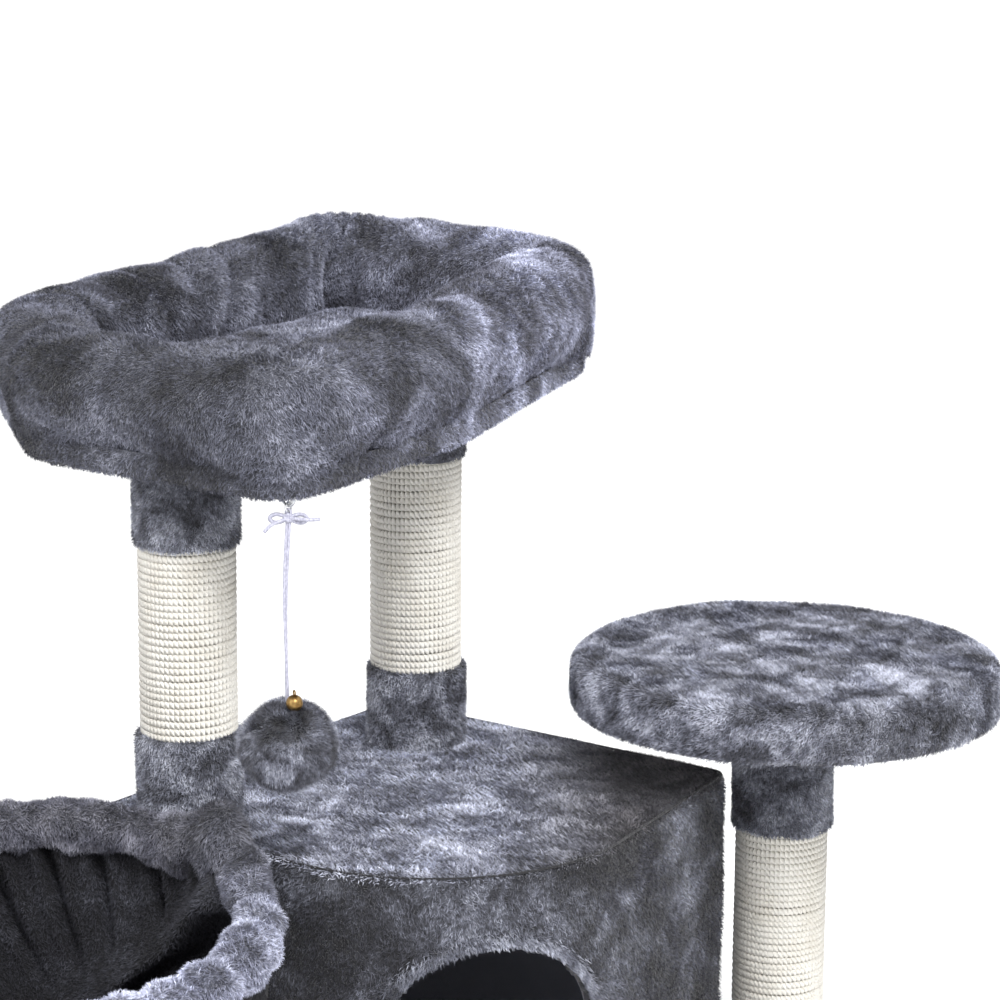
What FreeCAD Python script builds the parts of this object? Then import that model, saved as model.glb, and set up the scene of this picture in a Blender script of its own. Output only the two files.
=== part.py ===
import FreeCAD
import Part
import Sketcher
import math
import os

# A plush cat tree, in millimetres. +Z is up, -Y is the front, and the origin is on the floor
# under the middle of the whole tree. A low box den stands on the base. Two posts on its left
# side carry a bolstered bed, a third post behind its right corner carries a round jumping
# platform, a hoop basket hangs on its front, and a ball hangs from the bed's front corner.

doc = FreeCAD.newDocument("CatTree")
vector = FreeCAD.Vector

# ---------------------------------------------------------------- driving dimensions
sizes = {
    # place of the den's back left corner, seen from above
    "frame_x": -153.5,
    "frame_y": 242.74,
    # base
    "base_left": -45.0,
    "base_right": 435.0,
    "base_front": -390.0,
    "base_back": 110.0,
    "base_corner": 30.0,
    "base_board_thick": 15.0,
    "base_lining_thick": 2.3,
    "base_cover_thick": 3.0,
    # den
    "den_width": 312.0,
    "den_depth": 351.0,
    "den_height": 290.0,
    "den_splay": 53.0,
    "den_round": 146.0,
    "den_edge_round": 12.0,
    "plush_thick": 4.0,
    "panel_thick": 5.0,
    "board_thick": 12.0,
    "lining_thick": 2.0,
    "door_radius": 78.0,
    "door_hem": 3.0,
    "door_drop": 127.5,
    "door_aside": 10.0,
    # clearance between pieces that are glued, stapled or slid together, and between loose ones
    "fit_gap": 0.2,
    "loose_gap": 0.3,
    # posts
    "front_post_x": 66.0,
    "front_post_y": -316.0,
    "rear_post_x": 83.5,
    "rear_post_y": -79.0,
    "side_post_x": 335.0,
    "side_post_y": 39.0,
    "tube_radius": 29.0,
    "tube_bore": 25.5,
    "sisal_radius": 34.0,
    "sleeve_radius": 37.5,
    "sleeve_low": 62.0,
    "front_sleeve_up": 56.0,
    "rear_sleeve_up": 31.0,
    "side_sleeve_up": 91.0,
    "plug_thick": 25.0,
    "nut_radius": 5.5,
    "nut_length": 14.0,
    "bolt_radius": 3.9,
    "bolt_hole": 4.3,
    "bolt_head_radius": 8.0,
    "bolt_head_thick": 5.0,
    "bolt_recess_radius": 10.0,
    "bolt_recess": 6.0,
    "bolt_grip": 12.0,
    "screw_radius": 2.0,
    "screw_head_radius": 4.0,
    "screw_head_thick": 2.5,
    # bed
    "bed_under": 252.0,
    "bed_cover_thick": 2.5,
    "bolster_proud": 8.0,
    "bolster_inset": 66.0,
    "bolster_height": 90.0,
    "bolster_round": 26.0,
    "bed_pad_thick": 30.0,
    "bed_pad_round": 8.0,
    # platform
    "platform_under": 44.0,
    "platform_radius": 156.0,
    "platform_board_radius": 150.0,
    "platform_board_thick": 15.0,
    "platform_felt_thick": 2.8,
    "platform_foam_thick": 17.0,
    "platform_skin": 5.5,
    # basket
    "basket_x": 105.0,
    "basket_back": -6.0,
    "basket_tilt": 5.2,
    "basket_roll": 3.1,
    "hoop_radius": 148.0,
    "hoop_wire": 3.5,
    "rim_radius": 17.0,
    "bowl_radius": 145.0,
    "bowl_depth": 150.0,
    "bowl_round": 95.0,
    "bowl_thick": 4.0,
    "bracket_width": 84.0,
    "bracket_height": 30.0,
    "bracket_drop": 24.0,
    "bracket_thick": 2.5,
    # hanging ball
    "toy_x": 194.0,
    "toy_y": -361.0,
    "staple_radius": 5.0,
    "staple_wire": 1.0,
    "loop_radius": 3.0,
    "loop_wire": 0.8,
    "eye_radius": 2.4,
    "eye_wire": 0.7,
    "knot_radius": 3.2,
    "bow_radius": 4.2,
    "bow_wire": 1.1,
    "cord_radius": 1.6,
    "ball_z": 85.0,
    "ball_wide": 31.0,
    "ball_high": 27.0,
    "ball_skin": 4.0,
    "bell_radius": 5.6,
    "bell_thick": 0.5,
    "pellet_radius": 1.5,
}

sheet = doc.addObject("Spreadsheet::Sheet", "Sizes")
for row, (alias, value) in enumerate(sizes.items(), start=1):
    sheet.set("A%d" % row, alias)
    sheet.set("B%d" % row, str(value))
    sheet.setAlias("B%d" % row, alias)
doc.recompute()

nodes = []


def size(alias):
    """Value of one sheet cell, in millimetres."""
    return float(sheet.get(alias))


# Heights and places that follow from the driving dimensions
base_board_low = size("base_lining_thick") + size("fit_gap")
base_top = base_board_low + size("base_board_thick") + size("base_cover_thick")
den_top = base_top + size("den_height")
bed_under = den_top + size("bed_under")
bed_board_low = bed_under + size("bed_cover_thick") + size("fit_gap")
bed_board_top = bed_board_low + size("board_thick")
platform_under = den_top + size("platform_under")


# ---------------------------------------------------------------- drawing helpers
def keep(item, label):
    """Name one finished piece."""
    item.Label = label
    nodes.append(item)
    return item


def place(item, x, y, z):
    """Put a piece at a point measured from the den's back left corner and the floor."""
    item.Placement.Base.z = z
    item.setExpression(".Placement.Base.x", "Sizes.frame_x + (%s)" % x)
    item.setExpression(".Placement.Base.y", "Sizes.frame_y + (%s)" % y)


def newSketch(body, name, role="XY_Plane", lift=0.0):
    """Sketch on one of the body's own origin planes, lifted along that plane's normal."""
    sketch = body.newObject("Sketcher::SketchObject", name)
    plane = [item for item in body.Origin.OriginFeatures if item.Role == role][0]
    sketch.AttachmentSupport = [(plane, "")]
    sketch.MapMode = "FlatFace"
    sketch.AttachmentOffset = FreeCAD.Placement(vector(0, 0, lift), FreeCAD.Rotation())
    return sketch


def addCircle(sketch, radius, x=0.0, y=0.0):
    """Circle whose radius follows a sheet expression."""
    index = sketch.addGeometry(Part.Circle(vector(x, y, 0), vector(0, 0, 1), 10.0), False)
    constraint = sketch.addConstraint(Sketcher.Constraint("Radius", index, 10.0))
    sketch.setExpression("Constraints[%d]" % constraint, radius)
    sketch.addConstraint(Sketcher.Constraint("DistanceX", -1, 1, index, 3, x))
    sketch.addConstraint(Sketcher.Constraint("DistanceY", -1, 1, index, 3, y))


def growCorners(corners, grow):
    """Corners (x, y, radius) of an anticlockwise outline moved outwards by grow."""
    grown = []
    for index, (x, y, radius) in enumerate(corners):
        here = vector(x, y, 0)
        before = vector(*corners[index - 1][:2], 0)
        after = vector(*corners[(index + 1) % len(corners)][:2], 0)
        inbound = (here - before).normalize()
        outbound = (after - here).normalize()
        normal_in = vector(inbound.y, -inbound.x, 0)
        normal_out = vector(outbound.y, -outbound.x, 0)
        shift = (normal_in + normal_out) * (grow / (1 + normal_in.dot(normal_out)))
        moved = here + shift
        grown.append((moved.x, moved.y, max(radius + grow, 1.0)))
    return grown


def addOutline(sketch, corners, grow=0.0):
    """Closed outline of straight sides and round corners, moved outwards by grow."""
    corners = growCorners(corners, grow)
    arcs = []
    for index, (x, y, radius) in enumerate(corners):
        here = vector(x, y, 0)
        before = vector(*corners[index - 1][:2], 0)
        after = vector(*corners[(index + 1) % len(corners)][:2], 0)
        inbound = (here - before).normalize()
        outbound = (after - here).normalize()
        half_turn = inbound.getAngle(outbound) / 2
        tangent = radius * math.tan(half_turn)
        inward = (outbound - inbound).normalize()
        middle = here + inward * (radius / math.cos(half_turn) - radius)
        arcs.append((here - inbound * tangent, middle, here + outbound * tangent))
    for index, (start, middle, end) in enumerate(arcs):
        sketch.addGeometry(Part.Arc(start, middle, end), False)
        following = arcs[(index + 1) % len(arcs)][0]
        sketch.addGeometry(Part.LineSegment(end, following), False)
    for index in range(sketch.GeometryCount):
        if sketch.Geometry[index].TypeId != "Part::GeomCircle":
            sketch.addConstraint(Sketcher.Constraint("Block", index))


def pad(body, sketch, name, length):
    """Pad a sketch along its normal; length is a sheet expression."""
    feature = body.newObject("PartDesign::Pad", name)
    feature.Profile = sketch
    feature.setExpression("Length", length)
    return feature


def plate(label, corners, layers, height, place_x="0", place_y="0"):
    """Plate built up from layers of (thickness, grow, inner grow or None, [(radius, x, y)])."""
    body = doc.addObject("PartDesign::Body", label)
    lift = 0.0
    for number, (thick, grow, inner, holes) in enumerate(layers):
        sketch = newSketch(body, "%s_outline_%d" % (label, number), lift=lift)
        addOutline(sketch, corners, grow)
        if inner is not None:
            addOutline(sketch, corners, inner)
        for radius, x, y in holes:
            addCircle(sketch, radius, x, y)
        feature = pad(body, sketch, "%s_layer_%d" % (label, number), thick)
        doc.recompute()
        lift += feature.Length.Value
    place(body, place_x, place_y, height)
    return keep(body, label)


def turned(label, rings, place_x, place_y):
    """Coaxial rings: each (height, length, outer radius, bore radius or None)."""
    shapes = []
    for number, (height, length, outer, bore) in enumerate(rings):
        body = doc.addObject("PartDesign::Body", "%s_ring_%d" % (label, number))
        sketch = newSketch(body, "%s_circles_%d" % (label, number))
        addCircle(sketch, outer)
        if bore is not None:
            addCircle(sketch, bore)
        pad(body, sketch, "%s_pad_%d" % (label, number), length)
        place(body, place_x, place_y, height)
        shapes.append(body)
    if len(shapes) == 1:
        return keep(shapes[0], label)
    return group(label, shapes)


def group(label, members):
    """Separate pieces kept together under one name."""
    compound = doc.addObject("Part::Compound", label)
    compound.Links = members
    return keep(compound, label)


def cylinder(name, radius, height, low, axis=None):
    """Plain cylinder; radius and height are sheet expressions."""
    item = doc.addObject("Part::Cylinder", name)
    item.setExpression("Radius", radius)
    item.setExpression("Height", height)
    item.Placement = FreeCAD.Placement(low, FreeCAD.Rotation(vector(0, 0, 1), axis or vector(0, 0, 1)))
    return item


def torus(name, radius, wire, centre, axis, start=0.0, sweep=360.0):
    """Ring of wire, or part of one, in the plane square to axis."""
    item = doc.addObject("Part::Torus", name)
    item.setExpression("Radius1", radius)
    item.setExpression("Radius2", wire)
    item.Angle3 = sweep
    spin = FreeCAD.Rotation(vector(0, 0, 1), start)
    item.Placement = FreeCAD.Placement(centre, FreeCAD.Rotation(vector(0, 0, 1), axis) * spin)
    return item


def ball(name, radius, centre):
    """Plain sphere; radius is a sheet expression."""
    item = doc.addObject("Part::Sphere", name)
    item.setExpression("Radius", radius)
    item.Placement.Base = centre
    return item


def fuse(name, members):
    """One piece made of overlapping members."""
    item = doc.addObject("Part::MultiFuse", name)
    item.Shapes = members
    return item


def cut(name, base, tool):
    """Base with the tool taken away."""
    item = doc.addObject("Part::Cut", name)
    item.Base = base
    item.Tool = tool
    return item


def world(x, y, z):
    """Point measured from the den's back left corner, at a height above the floor."""
    return vector(size("frame_x") + x, size("frame_y") + y, z)


# ---------------------------------------------------------------- outlines seen from above
base_corners = [
    (size("base_left"), size("base_front"), size("base_corner")),
    (size("base_right"), size("base_front"), size("base_corner")),
    (size("base_right"), size("base_back"), size("base_corner")),
    (size("base_left"), size("base_back"), size("base_corner")),
]
den_corners = [
    (0.0, -size("den_depth"), size("den_edge_round")),
    (size("den_width") + size("den_splay"), -size("den_depth"), size("den_round")),
    (size("den_width"), 0.0, size("den_edge_round")),
    (0.0, 0.0, size("den_edge_round")),
]
# The bed is a five-sided board, wide at the front, with its front left corner cut off
bed_corners = [
    (-20.0, -380.0, 80.0),
    (212.0, -380.0, 34.0),
    (186.0, -160.0, 300.0),
    (84.0, 155.0, 55.0),
    (-176.0, 155.0, 45.0),
    (-176.0, -250.0, 75.0),
]
posts = {
    "front_post": (size("front_post_x"), size("front_post_y")),
    "rear_post": (size("rear_post_x"), size("rear_post_y")),
    "side_post": (size("side_post_x"), size("side_post_y")),
}
den_posts = [posts["front_post"], posts["rear_post"]]

# ---------------------------------------------------------------- base
base_screw_places = [(40.0, -310.0), (40.0, -40.0), (270.0, -40.0), (240.0, -290.0)]
side_bolt = ("Sizes.bolt_hole", *posts["side_post"])
side_recess = ("Sizes.bolt_recess_radius", *posts["side_post"])
screw_holes = [("Sizes.screw_radius + Sizes.fit_gap", x, y) for x, y in base_screw_places]
screw_access = [("Sizes.screw_head_radius + Sizes.fit_gap", x, y) for x, y in base_screw_places]

plate("base_lining", base_corners,
      [("Sizes.base_lining_thick", size("base_cover_thick"), None, [side_recess] + screw_access)], 0.0)
plate("base_board", base_corners,
      [("Sizes.screw_head_thick + Sizes.fit_gap", 0.0, None, [side_recess] + screw_access),
       ("Sizes.bolt_recess - Sizes.screw_head_thick - Sizes.fit_gap", 0.0, None,
        [side_recess] + screw_holes),
       ("Sizes.base_board_thick - Sizes.bolt_recess", 0.0, None, [side_bolt] + screw_holes)],
      base_board_low)
plate("base_cover", base_corners,
      [("Sizes.base_board_thick", size("base_cover_thick"), size("fit_gap"), []),
       ("Sizes.base_cover_thick", size("base_cover_thick"), None, [side_bolt] + screw_holes)],
      base_board_low)

# ---------------------------------------------------------------- den
wall_out = -(size("plush_thick") + size("fit_gap"))
wall_in = wall_out - size("panel_thick")
board_edge = wall_in - size("fit_gap")
lining_in = board_edge - size("lining_thick")
wall_height = "Sizes.den_height - Sizes.plush_thick - Sizes.fit_gap"
top_board_low = den_top - size("plush_thick") - size("fit_gap") - size("board_thick")
post_holes = [("Sizes.bolt_hole", x, y) for x, y in den_posts]

# The doorway's axis is level and looks out through the rounded corner, a little towards the side wall
side_slope = math.atan2(size("den_splay"), size("den_depth"))
door_turn = (math.pi / 2 + side_slope) / 2
door_axis = vector(math.sin(door_turn), -math.cos(door_turn), 0)
corner_point = vector(size("den_width") + size("den_splay"), -size("den_depth"), 0)
door_sideways = vector(math.cos(door_turn), math.sin(door_turn), 0)
door_height = den_top - size("door_drop")
door_start = (world(corner_point.x, corner_point.y, door_height) - door_axis * size("den_round") * 1.3
              + door_sideways * size("door_aside"))


def doorCylinder(name, radius):
    """Long cylinder that cuts the doorway through one layer of the den."""
    return cylinder(name, radius, "Sizes.den_round * 2", door_start, door_axis)


plate("den_floor_board", den_corners,
      [("Sizes.board_thick", board_edge, None,
        [("Sizes.screw_radius + Sizes.fit_gap", x, y) for x, y in base_screw_places])], base_top)
plate("den_top_board", den_corners,
      [("Sizes.board_thick - Sizes.bolt_recess", board_edge, None,
        [("Sizes.bolt_recess_radius", x, y) for x, y in den_posts]),
       ("Sizes.bolt_recess", board_edge, None, post_holes)], top_board_low)
plate("den_top_cover", den_corners,
      [("Sizes.plush_thick", 0.0, None, post_holes)], den_top - size("plush_thick"))


def wallBody(label, name, grow, inner, length, height):
    """Ring of wall that follows the den's outline."""
    body = doc.addObject("PartDesign::Body", name)
    sketch = newSketch(body, name + "_outline")
    addOutline(sketch, den_corners, grow)
    addOutline(sketch, den_corners, inner)
    pad(body, sketch, name + "_pad", length)
    place(body, "0", "0", height)
    return body


cover_ring = wallBody("den_wall_cover", "den_cover_ring", 0.0, -size("plush_thick"), wall_height, base_top)
keep(cut("den_wall_cover", cover_ring, doorCylinder("cover_door", "Sizes.door_radius - Sizes.door_hem")),
     "den_wall_cover")
lining_height = wall_height + " - 2 * Sizes.board_thick - 2 * Sizes.fit_gap"
lining_ring = wallBody("den_lining", "den_lining_ring", board_edge, lining_in, lining_height,
                       base_top + size("board_thick") + size("fit_gap"))
keep(cut("den_lining", lining_ring, doorCylinder("lining_door", "Sizes.door_radius - Sizes.door_hem")),
     "den_lining")


# The left and back walls are flat panels and the front and right walls are one bent sheet,
# all cut from one ring that follows the den's outline
left_depth = size("panel_thick") - wall_out


def wallRing(name):
    """Full ring of the den's wall."""
    return wallBody(name, name, wall_out, wall_in, wall_height, base_top)


def strip(name, x, y, width, depth):
    """Block as tall as the den that picks out one side of the wall."""
    item = doc.addObject("Part::Box", name)
    item.Length = width
    item.Width = depth
    item.setExpression("Height", "Sizes.den_height")
    item.Placement.Base = world(x, y, base_top)
    return item


def common(name, base, tool):
    """What base and tool share."""
    item = doc.addObject("Part::Common", name)
    item.Base = base
    item.Tool = tool
    return item


den_reach = size("den_width") + size("den_splay")
cleared = left_depth + size("fit_gap")
keep(common("den_left_panel", wallRing("left_ring"),
            strip("left_side", 0.0, -size("den_depth"), left_depth, size("den_depth"))), "den_left_panel")
keep(common("den_back_panel", wallRing("back_ring"),
            strip("back_side", cleared, -left_depth, den_reach, left_depth)), "den_back_panel")
keep(cut("den_curved_wall", wallRing("curved_ring"),
         fuse("wall_cuts", [strip("left_away", 0.0, -size("den_depth"), cleared, size("den_depth")),
                            strip("back_away", 0.0, -cleared, den_reach, cleared),
                            doorCylinder("wall_door", "Sizes.door_radius")])), "den_curved_wall")

# ---------------------------------------------------------------- posts
post_spans = {
    "front_post": (den_top, bed_under, "Sizes.front_sleeve_up"),
    "rear_post": (den_top, bed_under, "Sizes.rear_sleeve_up"),
    "side_post": (base_top, platform_under, "Sizes.side_sleeve_up"),
}
for name, (low, high, sleeve_up) in post_spans.items():
    x = "Sizes.%s_x" % name
    y = "Sizes.%s_y" % name
    length = high - low
    upper = float(size(sleeve_up.split(".")[1]))
    gap = size("fit_gap")
    sisal_length = "%.4f - Sizes.sleeve_low - %s - 2 * Sizes.fit_gap" % (length, sleeve_up)
    turned(name + "_tube", [(low, "%.4f" % length, "Sizes.tube_radius", "Sizes.tube_bore")], x, y)
    turned(name + "_plugs",
           [(low, "Sizes.plug_thick", "Sizes.tube_bore - Sizes.fit_gap",
             "Sizes.nut_radius + Sizes.fit_gap"),
            (high - size("plug_thick"), "Sizes.plug_thick", "Sizes.tube_bore - Sizes.fit_gap",
             "Sizes.nut_radius + Sizes.fit_gap")], x, y)
    turned(name + "_nuts",
           [(low, "Sizes.nut_length", "Sizes.nut_radius", "Sizes.bolt_radius + Sizes.fit_gap"),
            (high - size("nut_length"), "Sizes.nut_length", "Sizes.nut_radius",
             "Sizes.bolt_radius + Sizes.fit_gap")], x, y)
    turned(name + "_sisal",
           [(low + size("sleeve_low") + gap, sisal_length, "Sizes.sisal_radius",
             "Sizes.tube_radius + Sizes.fit_gap")], x, y)
    turned(name + "_sleeves",
           [(low, "Sizes.sleeve_low", "Sizes.sleeve_radius", "Sizes.tube_radius + Sizes.fit_gap"),
            (high - upper, sleeve_up, "Sizes.sleeve_radius", "Sizes.tube_radius + Sizes.fit_gap")], x, y)


def bolt(name, x, y, head_low, upright):
    """Bolt with a round head and a hexagon socket; upright means that its head is at the bottom."""
    sign = 1 if upright else -1
    axis = vector(0, 0, sign)
    head = cylinder(name + "_head", "Sizes.bolt_head_radius", "Sizes.bolt_head_thick",
                    world(x, y, head_low), axis)
    shank_low = head_low + sign * size("bolt_head_thick")
    shank = cylinder(name + "_shank", "Sizes.bolt_radius",
                     "Sizes.bolt_grip + Sizes.nut_length + Sizes.base_cover_thick",
                     world(x, y, shank_low), axis)
    socket = doc.addObject("Part::Prism", name + "_socket")
    socket.Polygon = 6
    socket.setExpression("Circumradius", "Sizes.bolt_head_radius * 0.4")
    socket.setExpression("Height", "Sizes.bolt_head_thick * 0.6")
    socket.Placement = FreeCAD.Placement(world(x, y, head_low),
                                         FreeCAD.Rotation(vector(0, 0, 1), axis))
    return cut(name, fuse(name + "_solid", [head, shank]), socket)


base_bolt_low = base_board_low + size("bolt_recess") - size("bolt_head_thick") - size("loose_gap")
den_bolt_low = (top_board_low + size("board_thick") - size("bolt_recess")
                - size("bolt_head_thick") - size("fit_gap"))
group("base_bolts", [bolt("side_post_bolt", *posts["side_post"], base_bolt_low, True)])
group("den_bolts", [bolt("%s_low_bolt" % name, *posts[name], den_bolt_low, True)
                    for name in ("front_post", "rear_post")])


def woodScrew(name, x, y, low, length):
    """Flat-headed wood screw, head down."""
    head = cylinder(name + "_head", "Sizes.screw_head_radius", "Sizes.screw_head_thick",
                    world(x, y, low))
    shank = cylinder(name + "_shank", "Sizes.screw_radius", "%.3f" % length,
                     world(x, y, low + size("screw_head_thick")))
    return fuse(name, [head, shank])


den_screw_length = base_top + size("board_thick") - base_board_low - size("screw_head_thick") - 2.0
group("den_screws", [woodScrew("den_screw_%d" % number, x, y, base_board_low, den_screw_length)
                     for number, (x, y) in enumerate(base_screw_places)])

# ---------------------------------------------------------------- bed
bed_skin = -(size("bed_cover_thick") + size("fit_gap"))
plate("bed_cover", bed_corners,
      [("Sizes.bed_cover_thick", 0.0, None, post_holes),
       ("Sizes.board_thick + Sizes.fit_gap", 0.0, -size("bed_cover_thick"), [])], bed_under)
plate("bed_board", bed_corners,
      [("Sizes.board_thick - Sizes.bolt_recess", bed_skin, None, post_holes),
       ("Sizes.bolt_recess", bed_skin, None,
        [("Sizes.bolt_recess_radius", x, y) for x, y in den_posts])], bed_board_low)
bed_head_top = bed_board_top - size("loose_gap")
group("bed_bolts", [bolt("%s_top_bolt" % name, *posts[name], bed_head_top, False)
                    for name in ("front_post", "rear_post")])

bolster_low = bed_board_top + size("loose_gap")


def roundTop(body, name, radius, pick):
    """Round one rim of the top face: pick is max for its outer rim and min for its inner one."""
    doc.recompute()
    shape = body.Shape
    top = shape.BoundBox.ZMax
    face = [item for item in shape.Faces if abs(item.BoundBox.ZMin - top) < 0.01][0]
    rim = pick(face.Wires, key=lambda wire: wire.BoundBox.DiagonalLength)
    names = []
    for number, edge in enumerate(shape.Edges, start=1):
        if any(edge.isSame(member) for member in rim.Edges):
            names.append("Edge%d" % number)
    padded = body.Tip
    fillet = body.newObject("PartDesign::Fillet", name)
    fillet.Base = (padded, names)
    fillet.setExpression("Radius", radius)
    doc.recompute()


bolster = plate("bed_bolster", bed_corners,
                [("Sizes.bolster_height", size("bolster_proud"), -size("bolster_inset"), [])], bolster_low)
roundTop(bolster, "bolster_outer_crest", "Sizes.bolster_round", max)
roundTop(bolster, "bolster_inner_crest", "Sizes.bolster_round", min)
bed_pad = plate("bed_pad", bed_corners,
                [("Sizes.bed_pad_thick", -size("bolster_inset") - 1.0, None, [])], bolster_low)
roundTop(bed_pad, "pad_crown", "Sizes.bed_pad_round", max)

# ---------------------------------------------------------------- jumping platform
platform_x = "Sizes.side_post_x"
platform_y = "Sizes.side_post_y"
platform_board_low = platform_under + size("platform_felt_thick") + size("fit_gap")
platform_foam_low = platform_board_low + size("platform_board_thick") + size("fit_gap")
platform_top = platform_foam_low + size("platform_foam_thick") + size("fit_gap") + size("platform_skin")
turned("platform_underside",
       [(platform_under, "Sizes.platform_felt_thick", "Sizes.platform_board_radius", "Sizes.bolt_hole")],
       platform_x, platform_y)


def stackedDisc(label, layers, low):
    """Round plate of stacked layers (thickness, radius, bore or None) about the side post."""
    body = doc.addObject("PartDesign::Body", label)
    lift = 0.0
    for number, (thick, radius, bore) in enumerate(layers):
        sketch = newSketch(body, "%s_circle_%d" % (label, number), lift=lift)
        addCircle(sketch, radius)
        if bore is not None:
            addCircle(sketch, bore)
        feature = pad(body, sketch, "%s_layer_%d" % (label, number), thick)
        doc.recompute()
        lift += feature.Length.Value
    place(body, platform_x, platform_y, low)
    return keep(body, label)


stackedDisc("platform_board",
            [("Sizes.platform_board_thick - Sizes.bolt_recess", "Sizes.platform_board_radius",
              "Sizes.bolt_hole"),
             ("Sizes.bolt_recess", "Sizes.platform_board_radius", "Sizes.bolt_recess_radius")],
            platform_board_low)
stackedDisc("platform_foam",
            [("Sizes.platform_foam_thick", "Sizes.platform_board_radius", None)], platform_foam_low)
cover_wall = platform_top - size("platform_skin") - platform_under
platform_cover = stackedDisc("platform_cover",
                             [("%.4f" % cover_wall, "Sizes.platform_radius",
                               "Sizes.platform_board_radius + Sizes.fit_gap"),
                              ("Sizes.platform_skin", "Sizes.platform_radius", None)], platform_under)
group("platform_bolts", [bolt("side_post_top_bolt", *posts["side_post"],
                              platform_board_low + size("platform_board_thick") - size("loose_gap"),
                              False)])

# ---------------------------------------------------------------- basket
# The hoop slopes down a little towards its front and its right, from the bracket at its back
den_face = -size("den_depth") - size("loose_gap")
basket_turn = (FreeCAD.Rotation(vector(0, 1, 0), size("basket_roll"))
               * FreeCAD.Rotation(vector(1, 0, 0), size("basket_tilt")))
back_height = den_top + size("basket_back")
hoop_back_point = world(size("basket_x"), den_face - size("rim_radius") - 2 * size("fit_gap"), back_height)
basket_axis = basket_turn.multVec(vector(0, 0, 1))
basket_place = hoop_back_point - basket_turn.multVec(vector(0, size("hoop_radius"), 0))
hoop = torus("hoop_ring", "Sizes.hoop_radius", "Sizes.hoop_wire", basket_place, basket_axis)
bracket_plate = doc.addObject("Part::Box", "bracket_plate")
bracket_plate.setExpression("Length", "Sizes.bracket_width")
bracket_plate.setExpression("Width", "Sizes.bracket_thick")
bracket_plate.setExpression("Height", "Sizes.bracket_height")
bracket_plate.Placement.Base = world(size("basket_x") - size("bracket_width") / 2,
                                     den_face - size("bracket_thick"),
                                     back_height - size("bracket_drop"))
lug_span = size("bracket_width") * 0.3
plate_middle = size("frame_y") + den_face - size("bracket_thick") * 0.5


def hoopPoint(across):
    """Point of the hoop's wire near its back, at a distance across from its middle."""
    along = math.sqrt(size("hoop_radius") ** 2 - across ** 2)
    return basket_place + basket_turn.multVec(vector(across, along, 0))


def lugCylinder(name, side, radius, reach):
    """Level rod from the hoop's wire towards the den."""
    start = hoopPoint(side * lug_span)
    return cylinder(name, radius, "%.4f" % (plate_middle + reach - start.y), start, vector(0, 1, 0))


lugs = [lugCylinder("bracket_lug_%d" % number, side, "Sizes.hoop_wire", 0.0)
        for number, side in enumerate((-1, 1))]
bracket_screw_places = [(size("basket_x") + side * size("bracket_width") * 0.4, back_height - level)
                        for side in (-1, 1) for level in (10.0, 19.0)]
screw_bores = [cylinder("bracket_bore_%d" % number, "Sizes.screw_radius + Sizes.fit_gap",
                        "Sizes.bracket_thick * 3",
                        world(x, den_face - size("bracket_thick") * 2, z), vector(0, 1, 0))
               for number, (x, z) in enumerate(bracket_screw_places)]
keep(cut("basket_hoop", fuse("hoop_solid", [hoop, bracket_plate] + lugs),
         fuse("bracket_bores", screw_bores)), "basket_hoop")


def bracketScrew(number, x, z):
    """Pan-headed screw through the bracket into the den's front wall."""
    head_back = den_face - size("bracket_thick") - size("fit_gap") / 2
    head = cylinder("basket_screw_head_%d" % number, "Sizes.screw_head_radius", "Sizes.screw_head_thick",
                    world(x, head_back - size("screw_head_thick"), z), vector(0, 1, 0))
    shank = cylinder("basket_screw_shank_%d" % number, "Sizes.screw_radius",
                     "Sizes.panel_thick + Sizes.plush_thick + Sizes.bracket_thick",
                     world(x, head_back, z), vector(0, 1, 0))
    return fuse("basket_screw_%d" % number, [head, shank])


group("basket_screws", [bracketScrew(number, x, z)
                        for number, (x, z) in enumerate(bracket_screw_places)])

roll = torus("rim_roll", "Sizes.hoop_radius", "Sizes.rim_radius", basket_place, basket_axis)
roll_bore = torus("rim_bore", "Sizes.hoop_radius", "Sizes.hoop_wire + Sizes.fit_gap", basket_place,
                  basket_axis)
roll_gap = doc.addObject("Part::Box", "rim_gap")
roll_gap.setExpression("Length", "Sizes.bracket_width * 1.05")
roll_gap.setExpression("Width", "Sizes.rim_radius")
roll_gap.setExpression("Height", "Sizes.rim_radius * 3")
roll_back = den_face - size("bracket_thick") - size("screw_head_thick") - 2 * size("fit_gap")
roll_gap.Placement.Base = world(size("basket_x") - size("bracket_width") * 0.525, roll_back,
                                back_height - size("rim_radius") * 1.5)
lug_ways = [lugCylinder("rim_lug_way_%d" % number, side, "Sizes.hoop_wire + Sizes.fit_gap",
                        size("rim_radius")) for number, side in enumerate((-1, 1))]
keep(cut("basket_rim", roll, fuse("rim_cuts", [roll_bore, roll_gap] + lug_ways)), "basket_rim")

bowl_top = -size("rim_radius") - 2 * size("fit_gap")
bowl = doc.addObject("PartDesign::Body", "basket_bowl")
bowl_sketch = newSketch(bowl, "bowl_section", role="XZ_Plane")


def bowlProfile(radius, low, bend, start):
    """Half section of the bowl: flat floor, round turn, straight side."""
    side = vector(radius, low + bend, 0)
    floor = vector(radius - bend, low, 0)
    half = bend * math.sqrt(0.5)
    middle = vector(radius - bend + half, low + bend - half, 0)
    return vector(0, low, 0), floor, middle, side, vector(radius, start, 0)


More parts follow.
